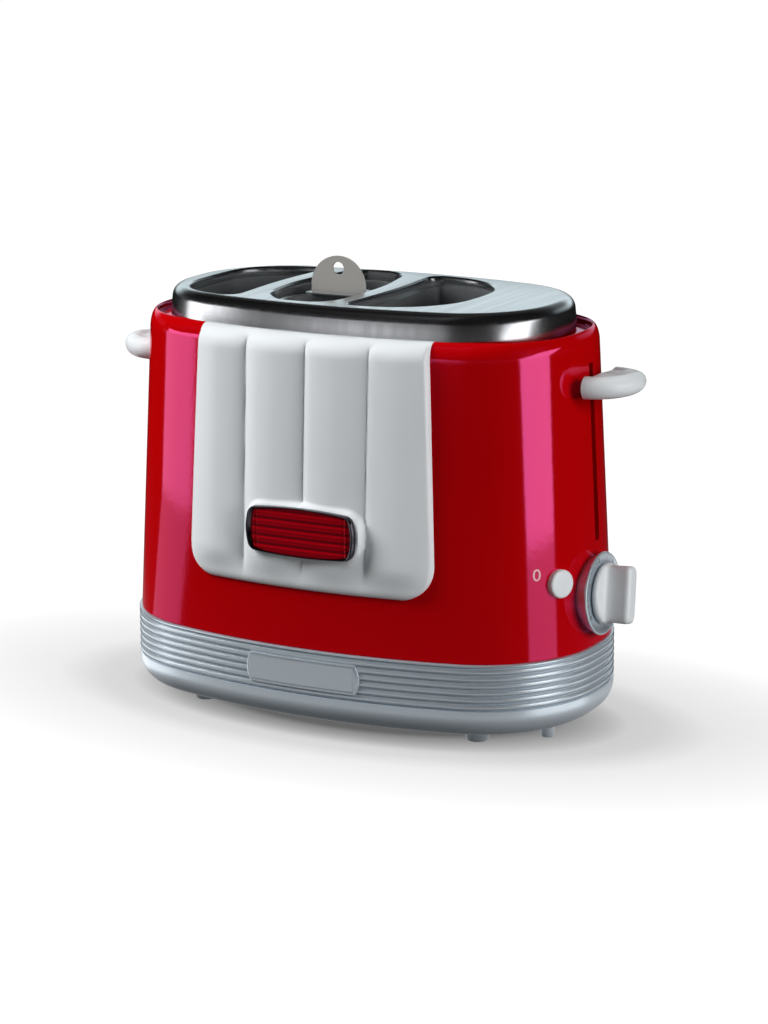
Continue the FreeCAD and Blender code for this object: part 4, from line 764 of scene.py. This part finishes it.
def dial():
    """Flared ring with a bevelled face, printed figures and ticks; a knob of a disc and a waisted bar."""
    origin, level, upright, outward = DIAL
    ring_rows = [(7.0, -3.0), (16.0, -3.0), (17.6, -1.2), (18.9, 1.0), (19.9, 3.0), (20.7, 4.6), (21.1, 5.3),
                 (21.1, 5.7), (20.9, 6.05), (20.5, 6.2), (19.9, 6.2), (19.6, 6.0), (19.3, 5.85), (16.6, 5.85),
                 (16.4, 5.6), (7.0, 5.6)]
    piece("dial_bezel", [ring(lathe(ring_rows, DIAL, 96))], "satin_silver", instead=["dial_ring"])
    figures, first, last, ticks_between = "012345", 210, -60, 5
    figure_radius, print_level = 18.1, 5.86
    printed = []
    for figure, degrees in zip(figures, np.linspace(first, last, len(figures))):
        turn = math.radians(degrees)
        spot = (figure_radius * math.cos(turn), figure_radius * math.sin(turn), print_level)
        printed += lettering(f"figure_{figure}", figure, DIAL, 2.3, spot)
    for tick, degrees in enumerate(np.linspace(first, last, (len(figures) - 1) * ticks_between + 1)):
        if tick % ticks_between == 0:
            continue
        turn = math.radians(degrees)
        out = np.cos(turn) * level + np.sin(turn) * upright
        across = -np.sin(turn) * level + np.cos(turn) * upright
        corners = [origin + out * r + across * w + outward * h
                   for h in (print_level - 0.01, print_level + 0.05)
                   for r, w in ((18.2, -0.12), (19.0, -0.12), (19.0, 0.12), (18.2, 0.12))]
        printed.append((np.array(corners), [(0, 1, 2, 3), (4, 5, 6, 7), (0, 1, 5, 4), (1, 2, 6, 5),
                                            (2, 3, 7, 6), (3, 0, 4, 7)]))
    piece("dial_figures", printed, "printing", sharp=30.0)
    face = 6.6
    disc_rows = [(0.0, face), (15.1, face), (15.5, face + 0.4), (15.5, face + 1.6), (15.1, face + 2.4),
                 (14.4, face + 2.9), (13.4, face + 3.0), (0.0, face + 3.0)]
    top, rounding, end_wide, end_thick, sides = face + 15.6, 2.6, 14.5, 5.0, 96
    crown = np.radians(np.linspace(0, 90, 9))[1:]
    rise = np.concatenate([face + np.array([1.0, 2.8, 3.3, 4.2, 6.0, 9.0, 12.0]), [top - rounding],
                           top - rounding + rounding * np.sin(crown)])
    wide = np.concatenate([[15.3, 15.2, 14.7, 14.5, 14.45, 14.5, 14.55, end_wide],
                           end_wide - rounding * (1 - np.cos(crown))])
    thick = np.concatenate([[6.4, 6.1, 5.3, 4.95, 4.8, 4.85, 5.0, end_thick],
                            end_thick - rounding * (1 - np.cos(crown))])
    turn = np.linspace(0, 2 * math.pi, sides, endpoint=False)
    c, s = np.cos(turn), np.sin(turn)
    shape_x, shape_y = np.sign(c) * np.abs(c) ** 0.45, np.sign(s) * np.abs(s) ** 0.28
    tilt = math.radians(12.0)
    short_way = math.cos(tilt) * level - math.sin(tilt) * upright
    long_way = math.sin(tilt) * level + math.cos(tilt) * upright
    spots = (origin + (shape_x[:, None] * thick[None])[..., None] * short_way
             + (shape_y[:, None] * wide[None])[..., None] * long_way + rise[None, :, None] * outward)
    bar, faces = ring(spots, closed=False)
    faces += [tuple(np.arange(sides) * len(rise) + row) for row in (len(rise) - 1, 0)]
    piece("timer_knob", [ring(lathe(disc_rows, DIAL, 96), closed=False), (bar, faces)], "white_plastic",
          "dial", ["dial_knob"], sharp=60.0)


def button():
    """Stop button: a shallow dome with a rounded edge over its stem, and the figure beside it."""
    rows = [(0.0, -11.4), (2.0, -11.4), (2.0, -4.6), (9.1, -4.6), (9.1, -3.4), (7.2, -3.4), (7.2, 1.9),
            (7.05, 2.5), (6.6, 2.9), (6.0, 3.08), (4.0, 3.16), (2.0, 3.19), (0.0, 3.2)]
    piece("stop_cap", [ring(lathe(rows, BUTTON, 72), closed=False)], "white_plastic", "button",
          ["stop_button"], sharp=45.0)
    bearing, level = math.radians(-37.0), 90.4
    x, y = BASE.at(bearing, wall(level))
    spot = facing((float(x), float(y), level), (math.cos(bearing), math.sin(bearing), math.tan(LEAN)))
    piece("stop_figure", lettering("stop_figure", "0", spot, 6.0, (0.0, 0.0, 0.02), narrow=1.15),
          "pale_printing", sharp=30.0)


def tab_foot():
    """Thin plate with rounded corners that the tab stands on."""
    middle, half, corner, count = np.array((-19.5, 1.0)), np.array((15.0, 10.5)), 3.0, 48
    low, high, soft, wide = 215.5, 216.4, 0.2, 3.0
    turn = np.arange(count) * 2 * math.pi / count
    spots = np.stack([np.cos(turn), np.sin(turn)], axis=-1)
    spots = middle + np.sign(spots) * (half - corner) + corner * spots
    rows = [(wide, low), (soft, low), (0.0, low + soft), (0.0, high - soft), (soft, high), (wide, high)]
    toward = (middle - spots) / np.linalg.norm(middle - spots, axis=1)[:, None]
    grid = np.stack([np.concatenate([spots + toward * inset, np.full((count, 1), level)], axis=1)
                     for inset, level in rows], axis=1)
    skin, faces = ring(grid, closed=False)
    faces += [tuple(np.arange(count) * len(rows) + row) for row in (len(rows) - 1, 0)]
    piece("tab_foot", [(skin, faces)], "bright_steel", "basket", sharp=50.0)


def soft_feet():
    """Tapered feet and cord pegs, rounded where they meet the table."""
    joint, buried = 8.9, 9.05
    sets = (("feet", 160.0, 77.0, 0.0, 1.75), ("cord_pegs", 220.0, 38.0, 0.6, 1.0))
    for name, long, wide, low, swell in sets:
        rows = [(0.0, low), (2.5, low), (2.95, low + 0.15), (3.2, low + 0.6), (3.9, 6.0), (4.6, joint),
                (4.6, buried), (0.0, buried)]
        rows = [(radius * swell, level) for radius, level in rows]
        places = [(np.array((sx * long, sy * wide, 0.0)), (1, 0, 0), (0, 1, 0), (0, 0, 1))
                  for sx in (-0.5, 0.5) for sy in (-0.5, 0.5)]
        piece("table_" + name, [ring(lathe(rows, place, 40), closed=False) for place in places],
              "satin_silver", instead=[name], sharp=50.0)


# ---------------------------------------------------------------- camera and light


def camera():
    """Long lens a little above the toaster, looking slightly down and turned towards the lever's end."""
    azimuth, elevation, roll = math.radians(27.9), math.radians(13.63), math.radians(-0.29)
    place = (0.7069, -1.3218, 0.4651)
    back = Vector((math.sin(azimuth) * math.cos(elevation), -math.cos(azimuth) * math.cos(elevation),
                   math.sin(elevation)))
    right = (-back).cross(Vector((0, 0, 1))).normalized()
    up = right.cross(-back)
    c, s = math.cos(roll), math.sin(roll)
    right, up = right * c + up * s, up * c - right * s
    data = bpy.data.cameras.new("camera")
    data.lens, data.sensor_width, data.sensor_fit = 103.893, 36.0, "AUTO"
    data.shift_x, data.shift_y = -0.0005, -0.0005
    data.clip_end = 200.0
    made = bpy.data.objects.new("camera", data)
    made.matrix_world = Matrix.Translation(place) @ Matrix((right, up, back)).transposed().to_4x4()
    scene.collection.objects.link(made)
    scene.camera = made


def staged(name, points, faces, material, **seen):
    """Mesh of the studio, with what may see it."""
    mesh = bpy.data.meshes.new(name)
    mesh.from_pydata([tuple(map(float, p)) for p in points], [], faces)
    mesh.materials.append(material)
    made = bpy.data.objects.new(name, mesh)
    scene.collection.objects.link(made)
    for key, value in seen.items():
        setattr(made, key, value)
    return made


def glow(name, strength):
    """White light that a card gives off."""
    material = bpy.data.materials.new(name)
    material.use_nodes = True
    tree = material.node_tree
    tree.nodes.clear()
    source, out = tree.nodes.new("ShaderNodeEmission"), tree.nodes.new("ShaderNodeOutputMaterial")
    source.inputs["Strength"].default_value = strength
    tree.links.new(source.outputs[0], out.inputs["Surface"])
    return material


def card(name, starts, stops, heights, level):
    """Bright card bent round the object, seen only in reflections. Its edges may slope: starts and stops are
    the bearings in degrees at the lower and the upper height."""
    share, distance = np.linspace(0, 1, 17), 0.62
    rows = []
    for start, stop, height in zip(starts, stops, heights):
        turn = np.radians(start + (stop - start) * share)
        x, y = distance * np.cos(turn), distance * np.sin(turn)
        rows.append(np.stack([x, y, np.full_like(turn, height)], axis=-1))
    spots, faces = patch(np.stack(rows, axis=1))
    staged(name, spots, faces, glow(name, level), visible_camera=False, visible_diffuse=False,
           visible_shadow=False, visible_transmission=False)


def lamp(name, bearing, rise, distance, size, level):
    """Soft square lamp aimed at the object. Level is the brightness of a white card that faces it there."""
    bearing, rise = math.radians(bearing), math.radians(rise)
    reach = math.cos(rise)
    place = distance * Vector((math.cos(bearing) * reach, math.sin(bearing) * reach, math.sin(rise)))
    data = bpy.data.lights.new(name, "AREA")
    data.size, data.energy = size, level * (math.pi * distance) ** 2
    made = bpy.data.objects.new(name, data)
    middle, aim = Vector((0, 0, 0.1)), place.to_track_quat("Z", "Y").to_matrix().to_4x4()
    made.matrix_world = Matrix.Translation(place + middle) @ aim
    made.visible_glossy = False
    scene.collection.objects.link(made)


def sky():
    """Surroundings: even for lighting; in reflections they change with the height and the bearing. A stop is
    a height, from straight down at 0 to straight up at 1, or a bearing in degrees, then brightness and tint."""
    world = bpy.data.worlds.new("studio_sky")
    scene.world = world
    world.use_nodes = True
    tree = world.node_tree
    tree.nodes.clear()

    def new(kind, *links, **settings):
        made = tree.nodes.new("ShaderNode" + kind)
        for name, value in settings.items():
            setattr(made, name, value)
        for socket, source in links:
            tree.links.new(source, made.inputs[socket])
        return made

    def ramp(source, stops):
        made = new("ValToRGB", (0, source))
        while len(made.color_ramp.elements) < len(stops):
            made.color_ramp.elements.new(0.5)
        for element, (place, level, *tint) in zip(made.color_ramp.elements, stops):
            element.position, element.color = place, (*(level * np.array(tint or (1, 1, 1))), 1.0)
        return made.outputs[0]

    def mixed(kind, one, other):
        made = new("Mix", (6, one), (7, other), data_type="RGBA", blend_type=kind)
        made.inputs[0].default_value = 1.0
        return made.outputs[2]

    def by_bearing(stops):
        return ramp(turn.outputs[0], [((degrees + 180) / 360, level) for degrees, level in stops])

    split = new("SeparateXYZ", (0, new("TexCoord").outputs["Generated"]))
    rise = new("MapRange", (0, split.outputs["Z"]))
    rise.inputs[1].default_value = -1.0
    turn = new("MapRange", (0, new("Math", (0, split.outputs["Y"]), (1, split.outputs["X"]),
                                   operation="ARCTAN2").outputs[0]))
    turn.inputs[1].default_value, turn.inputs[2].default_value = -math.pi, math.pi
    cool = (0.84, 0.97, 1.0)
    ground = ramp(rise.outputs[0], [(0.0, 0.06), (0.15, 0.14), (0.25, 0.32), (0.32, 0.55), (0.358, 0.55),
                                    (0.384, 0.03), (0.41, 0.004)])
    near = mixed("MULTIPLY", ramp(rise.outputs[0], [(0.462, 0.0), (0.482, 1.1), (0.52, 1.24), (0.54, 0.03),
                                                    (0.86, 0.02), (0.95, 0.08), (1.0, 0.08)]),
                 by_bearing([(-160, 0.06), (-138, 0.36), (-129, 0.08), (-118, 0.72), (-106, 0.95),
                             (-92, 0.42), (-78, 0.04), (20, 0.02), (60, 0.0)]))
    far = mixed("MULTIPLY", ramp(rise.outputs[0], [(0.54, 0.0), (0.57, 1.1, *cool), (0.65, 1.1, *cool),
                                                   (0.69, 0.05), (0.86, 0.02)]),
                by_bearing([(60, 0.0), (95, 1.0), (140, 1.0), (158, 0.05)]))
    whole = mixed("ADD", mixed("ADD", near, far), ground)
    mirrored, even = new("Background", (0, whole)), new("Background")
    even.inputs["Color"].default_value, even.inputs["Strength"].default_value = (0.97, 0.99, 1.0, 1), 0.10
    path, backdrop = new("LightPath"), new("Background")
    backdrop.inputs["Color"].default_value = (1.0, 1.0, 1.0, 1.0)
    unseen = new("MixShader", (0, path.outputs["Is Glossy Ray"]), (1, even.outputs[0]),
                 (2, mirrored.outputs[0]))
    mix = new("MixShader", (0, path.outputs["Is Camera Ray"]), (1, unseen.outputs[0]),
              (2, backdrop.outputs[0]))
    new("OutputWorld", ("Surface", mix.outputs[0]))


def studio():
    """Pale glowing floor, darker in an oval round the object as a painted soft shadow, cards for the enamel and
    the base to mirror, and two soft lamps."""
    floor = Paint("studio_floor", Roughness=1.0, Specular_IOR_Level=0.0, Emission_Strength=1.0)
    floor.set("Base Color", floor.blend(floor.grain(3.0), (0.08, 0.08, 0.08), (0.09, 0.09, 0.09)))
    # painted soft shadow: size of the oval in metres over which the floor's glow is dimmed round the object
    shadow_pool_x, shadow_pool_y = 0.3146, 0.1677
    oval = floor.node("Mapping", inputs={"Vector": floor.where, "Scale": (1 / shadow_pool_x, 1 / shadow_pool_y, 0.0)})
    shadow_distance = floor.node("VectorMath", {"operation": "LENGTH"}, {0: oval}, output="Value")
    # painted soft shadow: the glow falls from 1.0 far out to 0.12 in the oval close under the object
    stops = [(0.31, 0.12), (0.35, 0.27), (0.372, 0.32), (0.42, 0.46), (0.454, 0.59), (0.51, 0.62),
             (0.60, 0.77), (0.83, 0.88), (1.0, 1.0)]
    stops = [(place, (level,) * 3) for place, level in stops]
    floor.set("Emission Color", floor.node("ValToRGB", {"stops": stops}, {0: shadow_distance}))
    size = 40.0
    staged("floor", [(-size, -size, 0), (size, -size, 0), (size, size, 0), (-size, size, 0)], [(0, 1, 2, 3)],
           floor.material, visible_glossy=False, visible_diffuse=False)
    # bearings of both edges at the lower and the upper height, the heights, and the brightness
    card("left_card", (190, 191), (216, 216), (0.025, 0.205), 1.5)
    card("left_card_top", (194, 194), (222, 222), (0.205, 0.30), 2.2)
    card("left_card_low", (177, 190), (212, 216), (-0.09, 0.025), 0.62)
    card("left_card_base", (150, 150), (212, 212), (-0.22, -0.10), 1.5)
    card("right_card", (-20, -25), (6, 6), (0.025, 0.205), 1.9)
    card("right_card_top", (-25, -3), (6, 22), (0.205, 0.30), 2.2)
    card("right_card_low", (-19, -20), (6, 6), (-0.09, 0.025), 0.72)
    card("right_card_base", (-19, -19), (40, 40), (-0.22, -0.10), 1.5)
    sky()
    lamp("key", -155, 40, 2.4, 1.3, 1.35)
    lamp("fill", -10, 15, 2.2, 1.2, 0.72)


camera()
studio()
painted_body()
ribbed_base()
blank_plate()
fluted_panel()
badge()
steel_cover()
grips()
dial()
button()
soft_feet()
tab_foot()
